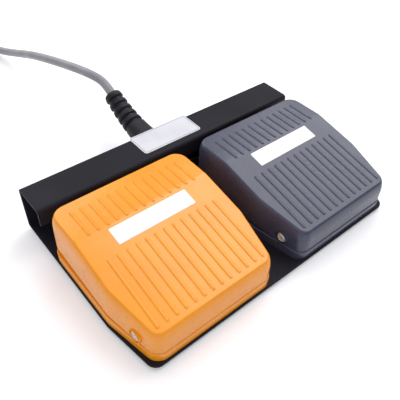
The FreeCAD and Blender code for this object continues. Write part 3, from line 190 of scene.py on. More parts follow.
# %% Cable and boot finishes
jacket_dents = (700, 2, 0.00006, 0.5)
cable_jacket = cloudy("cable_jacket", screen(137, 136, 141), screen(148, 147, 152), (90, 2), 0.42,
                      dents=jacket_dents)
lead_jacket = cloudy("lead_jacket", screen(38, 38, 41), screen(46, 46, 50), (90, 2), 0.42,
                     dents=jacket_dents)
boot_rubber = cloudy("boot_rubber", screen(26, 25, 33), screen(34, 33, 41), (160,), 0.5,
                     mirror=0.25, dents=(1500, 4, 0.00010, 0.6))
foot_rubber = cloudy("foot_rubber", screen(30, 30, 31), screen(40, 40, 41), (160,), 0.75,
                     mirror=0.25, dents=(2200, 4, 0.00010, 0.6))
print("finishes so far", [material.name for material in (cable_jacket, boot_rubber, foot_rubber)])

# %% [markdown]
# ## The cable's route
# A cable this thick is stiff: it leaves the boot in the direction that the boot points in, climbs
# a little, and comes down to the table in one slow bend. The photograph shows only its first
# stretch. The rest is wound up behind the switch, out of view, as a user would store it. The
# points are the control points of one smooth curve. The coil's turns are more points of that same
# curve: three turns wind inwards on the table, half a turn climbs, and the rest wind outwards on
# top of them.

# %% The cable's route
boot_x, boot_z = -3.9, 19.5
plate_rear = 62.8
boot_length = 54.5
boot_turn = math.radians(31.0)
boot_radius = boot_length / boot_turn
cable_diameter, straight_on = 6.4, 7.0


def boot_point(along):
    """A point on the boot's bent middle line, and the direction there."""
    turned = along / boot_radius
    point = Vector((boot_x, plate_rear + boot_radius * math.sin(turned),
                    boot_z + boot_radius * (1 - math.cos(turned))))
    return point, Vector((0, math.cos(turned), math.sin(turned)))


boot_tip, tip_way = boot_point(boot_length)
route = [boot_tip, boot_tip + straight_on * tip_way] + [Vector(point) for point in (
    (-5.5, 128.4, 40.4), (-10.8, 140.6, 42.4), (-14.8, 164.9, 38.4), (-18.3, 189.9, 33.0),
    (-19.6, 216.1, 24.9), (-20.9, 241.6, 15.3), (-24.5, 266.8, 7.3), (-31.9, 292.3, 3.6),
    (-44.5, 315.5, 3.4), (-61.8, 332.8, 3.4))]
print("boot tip", [round(value, 2) for value in boot_tip])

# %% [markdown]
# ## The coil
# A coil is a spiral seen from above. Its radius shrinks by one pitch each turn on the way in
# and grows again on the way out. A smooth curve of the second order runs a little inside its
# control points, so each of these is set out by the small share that this costs.

# %% The coil
coil_radius, coil_pitch = 47.0, 7.0
turns_in, turns_out = 3.0, 2.75
points_per_turn = 16
heading = (route[-1] - route[-2]).normalized()
heading.z = 0
heading.normalize()
leftward = Vector((-heading.y, heading.x, 0))
coil_entry = route[-1] + cable_diameter * heading
coil_centre = coil_entry + leftward * coil_radius
first_angle = math.atan2(coil_entry.y - coil_centre.y, coil_entry.x - coil_centre.x)
swell = 1 / math.cos(math.pi / points_per_turn) ** 0.75


def coil_point(turns):
    """A point of the spiral after so many turns, lifted onto the first layer on the way out."""
    if turns <= turns_in:
        radius, lift = coil_radius - coil_pitch * turns, 0.0
    elif turns <= turns_in + 0.5:
        share = (turns - turns_in) / 0.5
        dip = coil_pitch * 0.5 * (share - share * share)
        radius = coil_radius - coil_pitch * turns_in - dip
        lift = coil_pitch * (1 - math.cos(math.pi * share)) / 2
    else:
        radius = coil_radius - coil_pitch * (2 * turns_in + 0.5 - turns)
        lift = coil_pitch
    angle = first_angle + 2 * math.pi * turns
    out = Vector((math.cos(angle), math.sin(angle), 0))
    return coil_centre + out * radius * swell + Vector((0, 0, route[-1].z - coil_centre.z + lift))


all_turns = turns_in + 0.5 + turns_out
steps = round(all_turns * points_per_turn)
coil = [coil_point(all_turns * i / steps) for i in range(1, steps + 1)]
leaving = (coil[-1] - coil[-2])
leaving.z = 0
leaving.normalize()
cable_end = coil[-1] + cable_diameter * leaving
print("coil points", len(coil), "cable end", [round(value, 1) for value in cable_end])

# %% [markdown]
# ## The cable
# A curve object with a round bevel is the plainest way to make a cable: the spline is its middle
# line and the bevel its jacket. Order 3 keeps the spline smooth but close to its points. It is
# set after the points are there, because a spline with no points doesn't keep it. Each point
# carries the cable's radius and the bevel is one, because Blender adds the radius of the points to
# the box around a curve, and a point that is left alone has a radius of a whole metre.

# %% The cable
def smooth_line(name, points, diameter, finish, round_steps=6):
    """A cord as one NURBS spline through metres, with a round jacket."""
    curve = bpy.data.curves.new(name, "CURVE")
    curve.dimensions = "3D"
    curve.bevel_depth = 1.0
    curve.bevel_resolution = round_steps
    curve.use_fill_caps = True
    spline = curve.splines.new("NURBS")
    spline.points.add(len(points) - 1)
    for spot, point in zip(spline.points, points):
        spot.co = (*(Vector(point) * MM), 1.0)
        spot.radius = diameter * MM / 2
    spline.order_u = 3
    spline.use_endpoint_u = True
    spline.resolution_u = 8
    curve.materials.append(finish)
    line = bpy.data.objects.new(name, curve)
    bpy.context.scene.collection.objects.link(line)
    return line


jacket = smooth_line("cable_jacket", route + [coil_entry] + coil + [cable_end],
                     cable_diameter, cable_jacket)
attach(jacket, "base")
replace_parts(jacket, "cable", "cable_coil")
print("cable points", len(jacket.data.splines[0].points))

# %% [markdown]
# ## From a bmesh to an object
# A bmesh is a loose sheet of points, edges and faces that operators work on. These helpers turn
# a finished one into an object and back, shade it smooth wherever two faces meet gently, and say
# what it stands for.

# %% From a bmesh to an object
def add_object(shape, name, *finishes):
    """An object at the origin from a bmesh in millimetres."""
    bmesh.ops.scale(shape, vec=(MM, MM, MM), verts=shape.verts)
    mesh = bpy.data.meshes.new(name)
    shape.to_mesh(mesh)
    shape.free()
    piece = bpy.data.objects.new(name, mesh)
    bpy.context.scene.collection.objects.link(piece)
    for finish in finishes:
        mesh.materials.append(finish)
    return piece


def reopened(piece):
    """The mesh of an object as a bmesh in millimetres again. The object goes."""
    shape = bmesh.new()
    shape.from_mesh(piece.data)
    bmesh.ops.scale(shape, vec=(1 / MM, 1 / MM, 1 / MM), verts=shape.verts)
    bpy.data.objects.remove(piece)
    return shape


def shade(piece, angle=32.0, weighted=True):
    """Smooth shading that breaks at corners, and flat faces that stay flat."""
    mesh = piece.data
    mesh.polygons.foreach_set("use_smooth", [True] * len(mesh.polygons))
    mesh.set_sharp_from_angle(angle=math.radians(angle))
    if weighted:
        weigh = piece.modifiers.new("flat faces first", "WEIGHTED_NORMAL")
        weigh.keep_sharp = True


def place(piece, body, slot, *nodes):
    """Say which body a piece rides on and which nodes it stands for. The slot, a finish's name, is
    not used.
    """
    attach(piece, body)
    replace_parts(piece, *nodes)
    print(piece.name, "faces", len(piece.data.polygons), "for", *nodes)


print("object helpers ready")

# %% [markdown]
# ## Walls, edges and cuts
# Three modifiers do what would be slow to draw: one gives a skin its thickness, one rounds every
# sharp edge, and one drills a tool out of a piece or joins it on. Each is baked at once, so that
# the next step can work on what it made.

# %% Walls, edges and cuts
def settle(piece):
    """Make what the modifiers show the piece's own mesh."""
    depsgraph = bpy.context.evaluated_depsgraph_get()
    mesh = bpy.data.meshes.new_from_object(piece.evaluated_get(depsgraph))
    piece.modifiers.clear()
    piece.data = mesh


def thicken(piece, thickness):
    """Give a skin its thickness, inwards."""
    wall = piece.modifiers.new("wall", "SOLIDIFY")
    wall.thickness = thickness * MM
    wall.offset = -1
    wall.use_even_offset = True
    settle(piece)


def soften(piece, width):
    """Round every sharp edge by a narrow bevel."""
    edge = piece.modifiers.new("edges", "BEVEL")
    edge.width = width * MM
    edge.segments = 2
    edge.limit_method = "ANGLE"
    edge.angle_limit = math.radians(50)
    settle(piece)


def combine(piece, tool, how):
    """Cut a tool out of a piece, or join it on, as a drill or a weld would."""
    change = piece.modifiers.new(how.lower(), "BOOLEAN")
    change.operation = how
    change.solver = "EXACT"
    change.use_self = True
    change.object = tool
    bpy.context.view_layer.update()
    settle(piece)
    bpy.data.objects.remove(tool)


print("modifier helpers ready")

# %% [markdown]
# ## Simple shapes
# Small parts are mostly rods and blocks, set into the mesh of a larger one. The other helpers
# draw a face in and round edges or corners off, as most of the pieces below need.

# %% Simple shapes
ALONG = {"X": Matrix.Rotation(math.pi / 2, 4, "Y"), "Y": Matrix.Rotation(-math.pi / 2, 4, "X"),
         "Z": Matrix.Identity(4)}


def add_rod(shape, radius, start, length, axis, sides=32):
    """A closed rod from its start along an axis."""
    way = {"X": Vector((1, 0, 0)), "Y": Vector((0, 1, 0)), "Z": Vector((0, 0, 1))}[axis]
    middle = Vector(start) + way * length / 2
    bmesh.ops.create_cone(shape, cap_ends=True, segments=sides, radius1=radius, radius2=radius,
                          depth=length, matrix=Matrix.Translation(middle) @ ALONG[axis])


def add_block(shape, low, high):
    """A closed block between two corners."""
    low, high = Vector(low), Vector(high)
    spread = Matrix.Diagonal((*(high - low), 1.0))
    bmesh.ops.create_cube(shape, size=1.0, matrix=Matrix.Translation((low + high) / 2) @ spread)


def add_shape(shape, other, matrix):
    """Copy another mesh into this one, moved by a matrix."""
    count = len(shape.verts)
    shape.from_mesh(other)
    shape.verts.ensure_lookup_table()
    bmesh.ops.transform(shape, matrix=matrix, verts=shape.verts[count:])


def draw_in(shape, faces, inward, upward=0.0):
    """Draw faces in by a distance, and up by another. Gives the ring around them."""
    return bmesh.ops.inset_region(shape, faces=faces, thickness=inward, depth=upward,
                                  use_boundary=True, use_even_offset=True)["faces"]


def round_off(shape, items, offset, segments, affect="EDGES"):
    """Round edges, or the corners of a flat face."""
    bmesh.ops.bevel(shape, geom=items, offset=offset, offset_type="OFFSET", segments=segments,
                    profile=0.5, affect=affect, material=-1)


def everything(shape):
    return shape.verts[:] + shape.edges[:] + shape.faces[:]


print("shape helpers ready")

# %% [markdown]
# ## Strain relief boot
# The boot is a tapered sleeve of black rubber with five grooves, which let it bend without
# kinking the cable. Its profile is drawn once, as radius against length, and spun around its
# middle line. Then each ring of points is carried to its place on the bent line. The flange and
# neck that hold it in the wall of the channel are part of the same moulding.

# %% Strain relief boot
groove_count, first_groove, groove_pitch, groove_depth = 5, 24.0, 6.0, 1.35


def boot_outline():
    """Pairs of distance along the boot and radius, from the flange inside to the tip."""
    root, tip = 8.8, 6.3
    pairs = [(-3.5, 0.0), (-3.5, 8.7), (-3.2, 9.0), (-1.9, 9.0), (-1.6, 8.7), (-1.6, 7.0),
             (0.05, 7.0), (0.05, 11.6), (0.3, 12.0), (1.0, 11.9), (2.0, 11.1), (3.2, 10.1),
             (4.6, 9.4), (6.6, 8.95), (9.0, 8.6), (13.0, 8.3), (18.0, 8.0)]
    for i in range(groove_count):
        middle = first_groove + groove_pitch * i
        radius = root + (tip - root) * middle / boot_length
        low = radius - groove_depth
        pairs += [(middle - 1.9, radius + 0.02), (middle - 1.55, radius - 0.12),
                  (middle - 1.25, radius - 0.55), (middle - 0.95, low + 0.08), (middle - 0.5, low),
                  (middle + 0.5, low), (middle + 0.95, low + 0.08), (middle + 1.25, radius - 0.6),
                  (middle + 1.55, radius - 0.17), (middle + 1.9, radius - 0.05)]
    pairs += [(51.2, 6.45), (52.6, 6.2), (53.6, 5.75), (54.2, 5.1), (54.5, 4.4), (54.5, 3.35),
              (52.5, 3.3), (52.5, 0.0)]
    return pairs


def spin_profile(pairs, sides=48):
    """Spin pairs of height and radius around the Z axis."""
    shape = bmesh.new()
    ring = [shape.verts.new((radius, 0, along)) for along, radius in pairs]
    edges = [shape.edges.new(pair) for pair in zip(ring, ring[1:])]
    bmesh.ops.spin(shape, geom=ring + edges, axis=(0, 0, 1), cent=(0, 0, 0), angle=2 * math.pi,
                   steps=sides, use_merge=True)
    bmesh.ops.remove_doubles(shape, verts=shape.verts, dist=1e-4)
    bmesh.ops.recalc_face_normals(shape, faces=shape.faces)
    return shape


shape = spin_profile(boot_outline(), 56)
for vert in shape.verts:
    along = vert.co.z
    if along > 0:
        point, way = boot_point(along)
    else:
        point, way = Vector((boot_x, plate_rear + along, boot_z)), Vector((0, 1, 0))
    upward = Vector((0, -way.z, way.y))
    vert.co = point + Vector((1, 0, 0)) * vert.co.x + upward * vert.co.y
bmesh.ops.recalc_face_normals(shape, faces=shape.faces)
boot = add_object(shape, "boot", boot_rubber)
shade(boot, 50, weighted=False)
place(boot, "base", "boot_rubber", "strain_relief_boot")

# %% [markdown]
# ## Bare cores at the far end
# The switch is sold to be wired up, so its cable ends in bare cores and not in a plug. Each core
# is a thin line of its own, made a mesh, and the five of them are one piece in five colours.

# %% Bare cores at the far end
core_colours = [screen(150, 40, 36), screen(34, 34, 36), screen(196, 190, 60),
                screen(40, 86, 160), screen(214, 214, 210)]
core_diameter, core_ring = 1.7, 1.75
sideways, upwards = Vector((-leaving.y, leaving.x, 0)), Vector((0, 0, 1))
cores = bmesh.new()
core_finishes = []
for i, colour in enumerate(core_colours):
    darker = (*(value * 0.86 for value in colour[:3]), 1.0)
    core_finishes.append(cloudy(f"core_{i}", darker, colour, (300,), 0.4))
    angle = 2 * math.pi * i / len(core_colours) + math.pi / 2
    across, rise = math.cos(angle), math.sin(angle)
    near = cable_end + (sideways * across + upwards * rise) * core_ring
    spread = (sideways * across * 1.6 + upwards * rise * 0.5) * (1 + 0.2 * (i % 2))
    line = smooth_line(f"core_{i}", [
        near - leaving * 2, near + leaving * 7.2, near + leaving * 15.6 + spread,
        near + leaving * (22.8 + 0.72 * (i % 3)) + spread * 2.2],
        core_diameter, core_finishes[i], 3)
    mesh = bpy.data.meshes.new_from_object(line)
    count = len(cores.faces)
    cores.from_mesh(mesh)
    cores.faces.ensure_lookup_table()
    for face in cores.faces[count:]:
        face.material_index = i
    bpy.data.objects.remove(line)
bmesh.ops.scale(cores, vec=(1 / MM, 1 / MM, 1 / MM), verts=cores.verts)
core_piece = add_object(cores, "cores", *core_finishes)
shade(core_piece, 60, weighted=False)
place(core_piece, "base", "core_insulation", "cable_cores")

jacket.data.bevel_depth = 0.0
line = bpy.data.meshes.new_from_object(jacket)
jacket.data.bevel_depth = 1.0
cable_length = sum((line.vertices[edge.vertices[0]].co - line.vertices[edge.vertices[1]].co).length
                   for edge in line.edges)
print("cable length", round(cable_length, 3))

# %% [markdown]
# ## The pedals' outline
# Seen from above a pedal is a square whose front third narrows towards the heel. Pedal, housing
# and tongue share this outline, each drawn in by its own inset, so they nest with even gaps. Six
# corners make one face, and a bevel of its corner points rounds each with its own radius.

# %% The pedals' outline
pedal_front, pedal_rear, kink_y = -61.05, 33.45, -26.85
half_width, heel_inset = 46.5, 6.5
corner_radii = (10.0, 10.0, 14.0, 7.5, 7.5, 14.0)
steps_per_quarter = 10
centre_x = {"orange": -52.05, "grey": 52.05}


def outline_corners(inset):
    """Corners of the outline, from the right of the toe round by the left."""
    lean = heel_inset / (kink_y - pedal_front)
    shift = (math.sqrt(1 + lean * lean) - 1) / lean
    half, front, rear = half_width - inset, pedal_front + inset, pedal_rear - inset
    kink = kink_y + inset * shift
    heel = half - (kink - front) * lean
    return [(half, rear), (-half, rear), (-half, kink), (-heel, front), (heel, front), (half, kink)]


def outline_face(shape, inset, height):
    """One flat face with the rounded outline."""
    corners = [Vector((x, y, height)) for x, y in outline_corners(inset)]
    verts = [shape.verts.new(corner) for corner in corners]
    shape.faces.new(verts)
    for i, vert in enumerate(verts):
        before, after = corners[i - 1], corners[(i + 1) % 6]
        turned = (corners[i] - before).angle(after - corners[i])
        reach = (corner_radii[i] - inset) * math.tan(turned / 2)
        segments = max(3, round(steps_per_quarter * turned * 2 / math.pi))
        round_off(shape, [vert], reach, segments, "VERTICES")
    return shape.faces[:][0]


shape = bmesh.new()
face = outline_face(shape, 0.0, 0.0)
print("outline corners", len(shape.verts), "area", round(face.calc_area()), "up", face.normal.z > 0)
shape.free()

# %% [markdown]
# ## Moulded plastic
# Both pedals are moulded in glossy plastic. Real gloss plastic is never quite even: the polished
# mould leaves a slight ripple, the colour swirls a little, and handling dulls it in patches. So
# colour, roughness and a shallow bump each follow a noise of their own size.

# %% Moulded plastic
def plastic_finish(name, low, high, mirror):
    return cloudy(name, low, high, (45, 2), 0.25, mirror=mirror,
                  dull=(120, 4, 0.2, 0.3, 0.3, 0.7), dents=(38, 1, 0.00022, 0.5))


orange_plastic = plastic_finish("orange_plastic", screen(244, 151, 4), screen(249, 157, 10), 0.62)
grey_plastic = plastic_finish("grey_plastic", screen(59, 62, 83), screen(64, 67, 88), 0.48)
plastic = {"orange": orange_plastic, "grey": grey_plastic}
print("plastics", [finish.name for finish in plastic.values()])

# %% [markdown]
# ## Skin of a pedal
# The skin starts as the outline at the lower edge of the skirt. One inset that also rises makes
# the side walls and their slight draft, which lets the part leave its mould. A slanted cut takes
# off the front of the top, the crease is rounded, and then the whole upper edge in one bevel.
# That edge is softer down the wall than across the top. A bevel is as wide as it is high, so all
# of this is made at a third of its height, and pulling the skin up to its full height stretches
# the round edge with it. Under the toe a second slanted cut opens the wedge that the pedal closes
# when it is pressed.

# %% Skin of a pedal
skirt_low, toe_top = 9.9, 37.7
crease_y, hinge_y, hinge_z = 4.55, -46.55, 14.0
slope = math.radians(11.6)
press = math.radians(4.5)
draft = math.radians(1.2)
wall = 2.3
pull, rim_round, crease_round = 3, 2.5, 12


def pedal_skin():
    """The outer skin of a pedal about its own middle, open below."""
    shape = bmesh.new()
    top = outline_face(shape, 0.0, skirt_low / pull)
    rise = toe_top - skirt_low
    draw_in(shape, [top], rise * math.tan(draft), rise / pull)
    cut = bmesh.ops.bisect_plane(shape, geom=everything(shape), dist=1e-5,
                                 plane_co=(0, crease_y, toe_top / pull),
                                 plane_no=(0, -math.tan(slope) / pull, 1.0), clear_outer=True)
    edges = [item for item in cut["geom_cut"] if isinstance(item, bmesh.types.BMEdge)]
    bmesh.ops.holes_fill(shape, edges=edges, sides=0)
    bmesh.ops.recalc_face_normals(shape, faces=shape.faces)
    crease = [edge for edge in shape.edges if all(
        abs(vert.co.y - crease_y) < 1e-3 and abs(vert.co.z - toe_top / pull) < 1e-3
        for vert in edge.verts)]
    round_off(shape, crease, crease_round * math.tan(slope / 2), 5)
    rim = [edge for edge in shape.edges if len(edge.link_faces) == 2
           and max(face.normal.z for face in edge.link_faces) > 0.9
           and min(face.normal.z for face in edge.link_faces) < 0.3]
    round_off(shape, rim, rim_round, 10)
    bmesh.ops.scale(shape, vec=(1, 1, pull), verts=shape.verts)
    shape.normal_update()
    bmesh.ops.bisect_plane(shape, geom=everything(shape), dist=1e-5,
                           plane_co=(0, hinge_y, skirt_low),
                           plane_no=(0, -math.sin(press), math.cos(press)), clear_inner=True)
    return shape


skin = pedal_skin()
low = [min(vert.co[i] for vert in skin.verts) for i in range(3)]
high = [max(vert.co[i] for vert in skin.verts) for i in range(3)]
print("pedal skin from", [round(value, 2) for value in low], "to",
      [round(value, 2) for value in high], "faces", len(skin.faces))

# %% [markdown]
# ## Grip ribs
# Thirteen low ribs run lengthwise on the toe and again on the slope, so that a shoe doesn't slide
# off. Each is a low bar with round ends and a round back, as a ball-ended cutter leaves it in the
# mould. A flat disc pulled apart along its length gives that plan. Small insets that rise steeply
# at first and then less and less follow the arc of the back, whose near flank turns away from the
# lamp and so keeps the plain colour of the plastic.

# %% Grip ribs
rib_count, rib_pitch, rib_width = 13, 5.86, 2.3
rib_steps = ((0.06, 0.10), (0.12, 0.14), (0.18, 0.14), (0.24, 0.12), (0.26, 0.06))
toe_start, heel_start, sunk = 3.75, 5.22, 0.06


def rib_mesh(length):
    """One rib from the origin along Y, standing on the ground plane."""
    shape = bmesh.new()
    bmesh.ops.create_circle(shape, cap_ends=True, segments=12, radius=rib_width / 2,
                            matrix=Matrix.Rotation(math.radians(15), 4, "Z"))
    far = [vert for vert in shape.verts if vert.co.y > 0]
    bmesh.ops.translate(shape, vec=(0, length - rib_width, 0), verts=far)
    bmesh.ops.translate(shape, vec=(0, rib_width / 2, -sunk), verts=shape.verts)
    face = shape.faces[:][0]
    if face.normal.z < 0:
        bmesh.ops.reverse_faces(shape, faces=[face])
    for inward, upward in rib_steps:
        draw_in(shape, [face], inward, upward)
    mesh = bpy.data.meshes.new("rib")
    shape.to_mesh(mesh)
    shape.free()
    return mesh


toe_rib = rib_mesh(20.6)
heel_rib = rib_mesh(44.4)
heel_low = -(crease_y - pedal_front) / math.cos(slope) + heel_start
on_slope = Matrix.Translation((0, crease_y, toe_top)) @ Matrix.Rotation(slope, 4, "X")
print("rib faces", len(heel_rib.polygons))

# %% [markdown]
# ## Pedals
# The skin gets its wall from a Solidify modifier, inwards, so that the outside keeps its size.
# Two bosses that hold the hinge pin are joined on inside, and round recesses are drilled through
# the side walls down to them, where the ends of the pin show. A narrow bevel then rounds every
# sharp edge, as a mould does, and the ribs, the spring seat and the switch finger are added.

# %% Pedals
recess_floor, recess_radius, past_wall = 40.6, 3.9, 50
boss_start, boss_end, boss_radius, bore_radius = 43.6, 35.8, 4.3, 2.06
spring_y, seat_radius, peg_radius = 14.21, 6.0, 2.8
finger_low, finger_high = (-3, -7.95, 26.5), (3, -5.95, 33.2)


def make_pedal(colour):
    """Dress the skin of one pedal and carry it to its place."""
    pedal = add_object(skin.copy(), f"{colour}_pedal_shell", plastic[colour])
    thicken(pedal, wall)
    bosses = bmesh.new()
    for start in (-boss_start, boss_end):
        add_rod(bosses, boss_radius, (start, hinge_y, hinge_z), boss_start - boss_end, "X", 40)
    combine(pedal, add_object(bosses, "bosses"), "UNION")
    drill = bmesh.new()
    for start in (-past_wall, recess_floor):
        add_rod(drill, recess_radius, (start, hinge_y, hinge_z), past_wall - recess_floor, "X", 40)
    combine(pedal, add_object(drill, "drill"), "DIFFERENCE")
    drill = bmesh.new()
    add_rod(drill, bore_radius, (-45, hinge_y, hinge_z), 90, "X", 40)
    combine(pedal, add_object(drill, "drill"), "DIFFERENCE")
    soften(pedal, 0.28)

    shape = reopened(pedal)
    for i in range(rib_count):
        across = (i - (rib_count - 1) / 2) * rib_pitch
        add_shape(shape, toe_rib, Matrix.Translation((across, toe_start, toe_top)))
        add_shape(shape, heel_rib, Matrix.Translation((across, 0, 0)) @ on_slope
                  @ Matrix.Translation((0, heel_low, 0)))
    add_rod(shape, seat_radius, (0, spring_y, 29.0), 6.9, "Z")
    add_rod(shape, peg_radius, (0, spring_y, 24.0), 5.1, "Z")
    add_block(shape, finger_low, finger_high)
    bmesh.ops.translate(shape, vec=(centre_x[colour], 0, 0), verts=shape.verts)
    pedal = add_object(shape, f"{colour}_pedal_shell", plastic[colour])
    shade(pedal)
    place(pedal, f"{colour}_pedal_body", f"{colour}_plastic", f"{colour}_pedal")


for colour in centre_x:
    make_pedal(colour)

# %% [markdown]
# ## Black steel
# The bracket is sheet steel under a satin black powder coat. Powder flows into a very fine orange
# peel, which spreads reflections softly. Handling leaves faint duller clouds on it.

# %% Black steel
black_steel = cloudy("black_steel", screen(27, 26, 33), screen(33, 32, 40), (30,), 0.5,
                     mirror=0.12, dull=(60, 5, 0.46, 0.56), dents=(1300, 3, 0.00008, 0.5))
print("black steel ready")

# %% [markdown]
# ## Folded bracket
# The bracket is one sheet: a flat plate, whose rear edge is folded up into a wall, forward into a
# shelf and down into a lip. It is drawn as one line seen from the side and pulled out to its
# width. The folds are bevelled, because sheet steel can't be folded sharp. The front is cut to
# its taper, and only then does the sheet get its thickness, on the inner side.

# %% Folded bracket
plate_half, plate_front, plate_low, plate_sheet = 100.0, -62.8, 2.0, 1.5
taper_length, taper_inset, front_round = 35.0, 5.0, 6.0
shelf_z, lip_y, lip_z = 33.5, 38.6, 21.5
shape = bmesh.new()
profile = [(plate_front, plate_low), (plate_rear, plate_low), (plate_rear, shelf_z),
           (lip_y, shelf_z), (lip_y, lip_z)]
verts = [shape.verts.new((-plate_half, y, z)) for y, z in profile]
edges = [shape.edges.new(pair) for pair in zip(verts, verts[1:])]
made = bmesh.ops.extrude_edge_only(shape, edges=edges)["geom"]
bmesh.ops.translate(shape, vec=(2 * plate_half, 0, 0),
                    verts=[item for item in made if isinstance(item, bmesh.types.BMVert)])
for side in (-1, 1):
    bmesh.ops.bisect_plane(shape, geom=everything(shape), dist=1e-5, clear_outer=True,
                           plane_co=(side * plate_half, plate_front + taper_length, 0),
                           plane_no=Vector((side * taper_length, -taper_inset, 0)).normalized())
corners = [vert for vert in shape.verts if vert.co.y < plate_front + 0.01]
front_turn = math.radians(81.9)
round_off(shape, corners, front_round * math.tan(front_turn / 2), 8, "VERTICES")
folds = [edge for edge in shape.edges if len(edge.link_faces) == 2
         and edge.link_faces[0].normal.dot(edge.link_faces[1].normal) < 0.5]
round_off(shape, folds, 2.2, 8)
floor_face = max(shape.faces, key=lambda face: face.calc_area())
if floor_face.normal.z > 0:
    bmesh.ops.reverse_faces(shape, faces=shape.faces)
print("sheet faces", len(shape.faces), "folds", len(folds))
bracket = add_object(shape, "bracket", black_steel)
thicken(bracket, plate_sheet)

# %% [markdown]
# The wall has a round hole for the boot and the plate one for each screw. They are drilled
# together. A narrow bevel on the cut edges then gives the thin bright lines that a painted sheet
# shows along its edges.

# %% Holes and edges of the bracket
screw_spots = ((36.0, 12.35), (22.0, -35.65))
boot_hole, screw_hole = 7.05, 1.65
drill = bmesh.new()
add_rod(drill, boot_hole, (boot_x, plate_rear - 5, boot_z), 10, "Y", 48)
for middle in centre_x.values():
    for across, along in screw_spots:
        for side in (-1, 1):
            add_rod(drill, screw_hole, (middle + side * across, along, 0), 6, "Z", 24)
combine(bracket, add_object(drill, "drill"), "DIFFERENCE")
soften(bracket, 0.3)
shade(bracket)
place(bracket, "base", "black_steel", "base_plate")

# %% [markdown]
# ## Lower housings
# Under each pedal a shallow tray is screwed to the bracket. It starts as a block with the shared
# outline. Its top is drawn in twice: once for the rim that shows all round, and once for the
# tongue, which stands up behind the skirt and closes the wedge to dust and toes. The tongue has
# to leave the hinge free, so its front is cut away. Ears, pegs and screw bosses stand inside.

# %% Lower housings
plate_top, rim_top, floor_top, tongue_top = 3.5, 9.5, 5.5, 19.7
overhang, screw_boss, spring_peg = 0.5, 3.75, 3.5
post_low, post_high = (-7.65, -30.85, floor_top - 1), (-5.25, -3.05, 21.4)


def make_housing(colour):
    """Make the tray under one pedal, in its place."""
    shape = bmesh.new()
    top = outline_face(shape, -overhang, plate_top)
    lifted = bmesh.ops.extrude_face_region(shape, geom=[top])["geom"]
    verts = [item for item in lifted if isinstance(item, bmesh.types.BMVert)]
    bmesh.ops.translate(shape, vec=(0, 0, rim_top - plate_top), verts=verts)
    bmesh.ops.recalc_face_normals(shape, faces=shape.faces)
    rim = [edge for edge in shape.edges if all(vert.co.z > rim_top - 0.01 for vert in edge.verts)]
    round_off(shape, rim, 0.7, 4)
    top = max(shape.faces, key=lambda face: face.calc_center_median().z)
    for inward, upward in ((2.9, 0.0), (0.0, tongue_top - rim_top), (1.8, 0.0),
                           (0.0, floor_top - tongue_top)):
        draw_in(shape, [top], inward, upward)
    housing = add_object(shape, f"{colour}_lower_housing", plastic[colour])
    knife = bmesh.new()
    add_block(knife, (-60, -70, rim_top), (60, hinge_y + 9, tongue_top + 5))
    combine(housing, add_object(knife, "knife"), "DIFFERENCE")

    shape = reopened(housing)
    for side in (-1, 1):
        ear = side * 34.0
        add_block(shape, (ear - 1.5, hinge_y - 4.5, plate_top), (ear + 1.5, hinge_y + 4.5, hinge_z))
        add_rod(shape, 4.5, (ear - 1.5, hinge_y, hinge_z), 3.0, "X", 40)
        for across, along in screw_spots:
            add_rod(shape, screw_boss, (side * across, along, floor_top - 1), 7.5, "Z")
    add_rod(shape, spring_peg, (0, spring_y, floor_top - 1), 6.0, "Z")
    add_block(shape, post_low, post_high)
    bmesh.ops.translate(shape, vec=(centre_x[colour], 0, 0), verts=shape.verts)
    housing = add_object(shape, f"{colour}_lower_housing", plastic[colour])
    shade(housing)
    place(housing, "base", f"{colour}_plastic", f"{colour}_housing")


for colour in centre_x:
    make_housing(colour)

# %% [markdown]
# ## Hinge pins
# The pin of each hinge is a plain steel rivet. Its left end is a domed head with a drilled
# middle, and a cap is pushed on at its right end. Both are turned parts, so each is a profile
# that is spun round the pin's own axis.

# %% Hinge pins
bright_steel = cloudy("bright_steel", screen(206, 201, 196), screen(224, 220, 216), (500, 4), 0.4,
                      metallic=0.4, dull=(900, 3, 0.34, 0.46))


def turned_part(pairs, colour, name, *nodes):
    """Spin pairs of distance along X and radius around the hinge axis of a pedal."""
    shape = spin_profile(pairs, 40)
    bmesh.ops.transform(shape, verts=shape.verts, matrix=Matrix.Translation(
        (centre_x[colour], hinge_y, hinge_z)) @ ALONG["X"])
    bmesh.ops.recalc_face_normals(shape, faces=shape.faces)
    piece = add_object(shape, f"{colour}_{name}", bright_steel)
    shade(piece, 40, weighted=False)
    place(piece, f"{colour}_pedal_body", "bright_steel", *nodes)


head_outline = [(-41.2, 0.0), (-41.2, 1.25), (-43.2, 1.4), (-43.45, 1.55), (-43.55, 1.85),
                (-43.45, 2.25), (-43.15, 2.7), (-42.7, 3.1), (-42.1, 3.45), (-41.4, 3.6),
                (-40.75, 3.6), (-40.6, 3.45), (-40.6, 2.0), (41.2, 2.0), (41.6, 1.6), (41.6, 0.0)]
cap_outline = [(40.6, 2.06), (40.6, 3.45), (40.75, 3.6), (41.4, 3.6), (42.1, 3.4), (42.7, 3.0),
               (43.15, 2.5), (43.45, 1.9), (43.55, 1.1), (43.55, 0.0), (41.62, 0.0),
               (41.62, 2.06), (40.6, 2.06)]
for colour in centre_x:
    turned_part(head_outline, colour, "hinge_pin", f"{colour}_axle")
    turned_part(cap_outline, colour, "hinge_cap", f"{colour}_axle_cap")

# %% [markdown]
# ## Labels
# A white film label lies on the slope of each pedal and a larger silvery one on the channel. They
# are left bare. A label is a thin card with small rounded corners. The large one has the plain
# hairline frame that such labels often have, made as a narrow ring of faces with a darker ink.

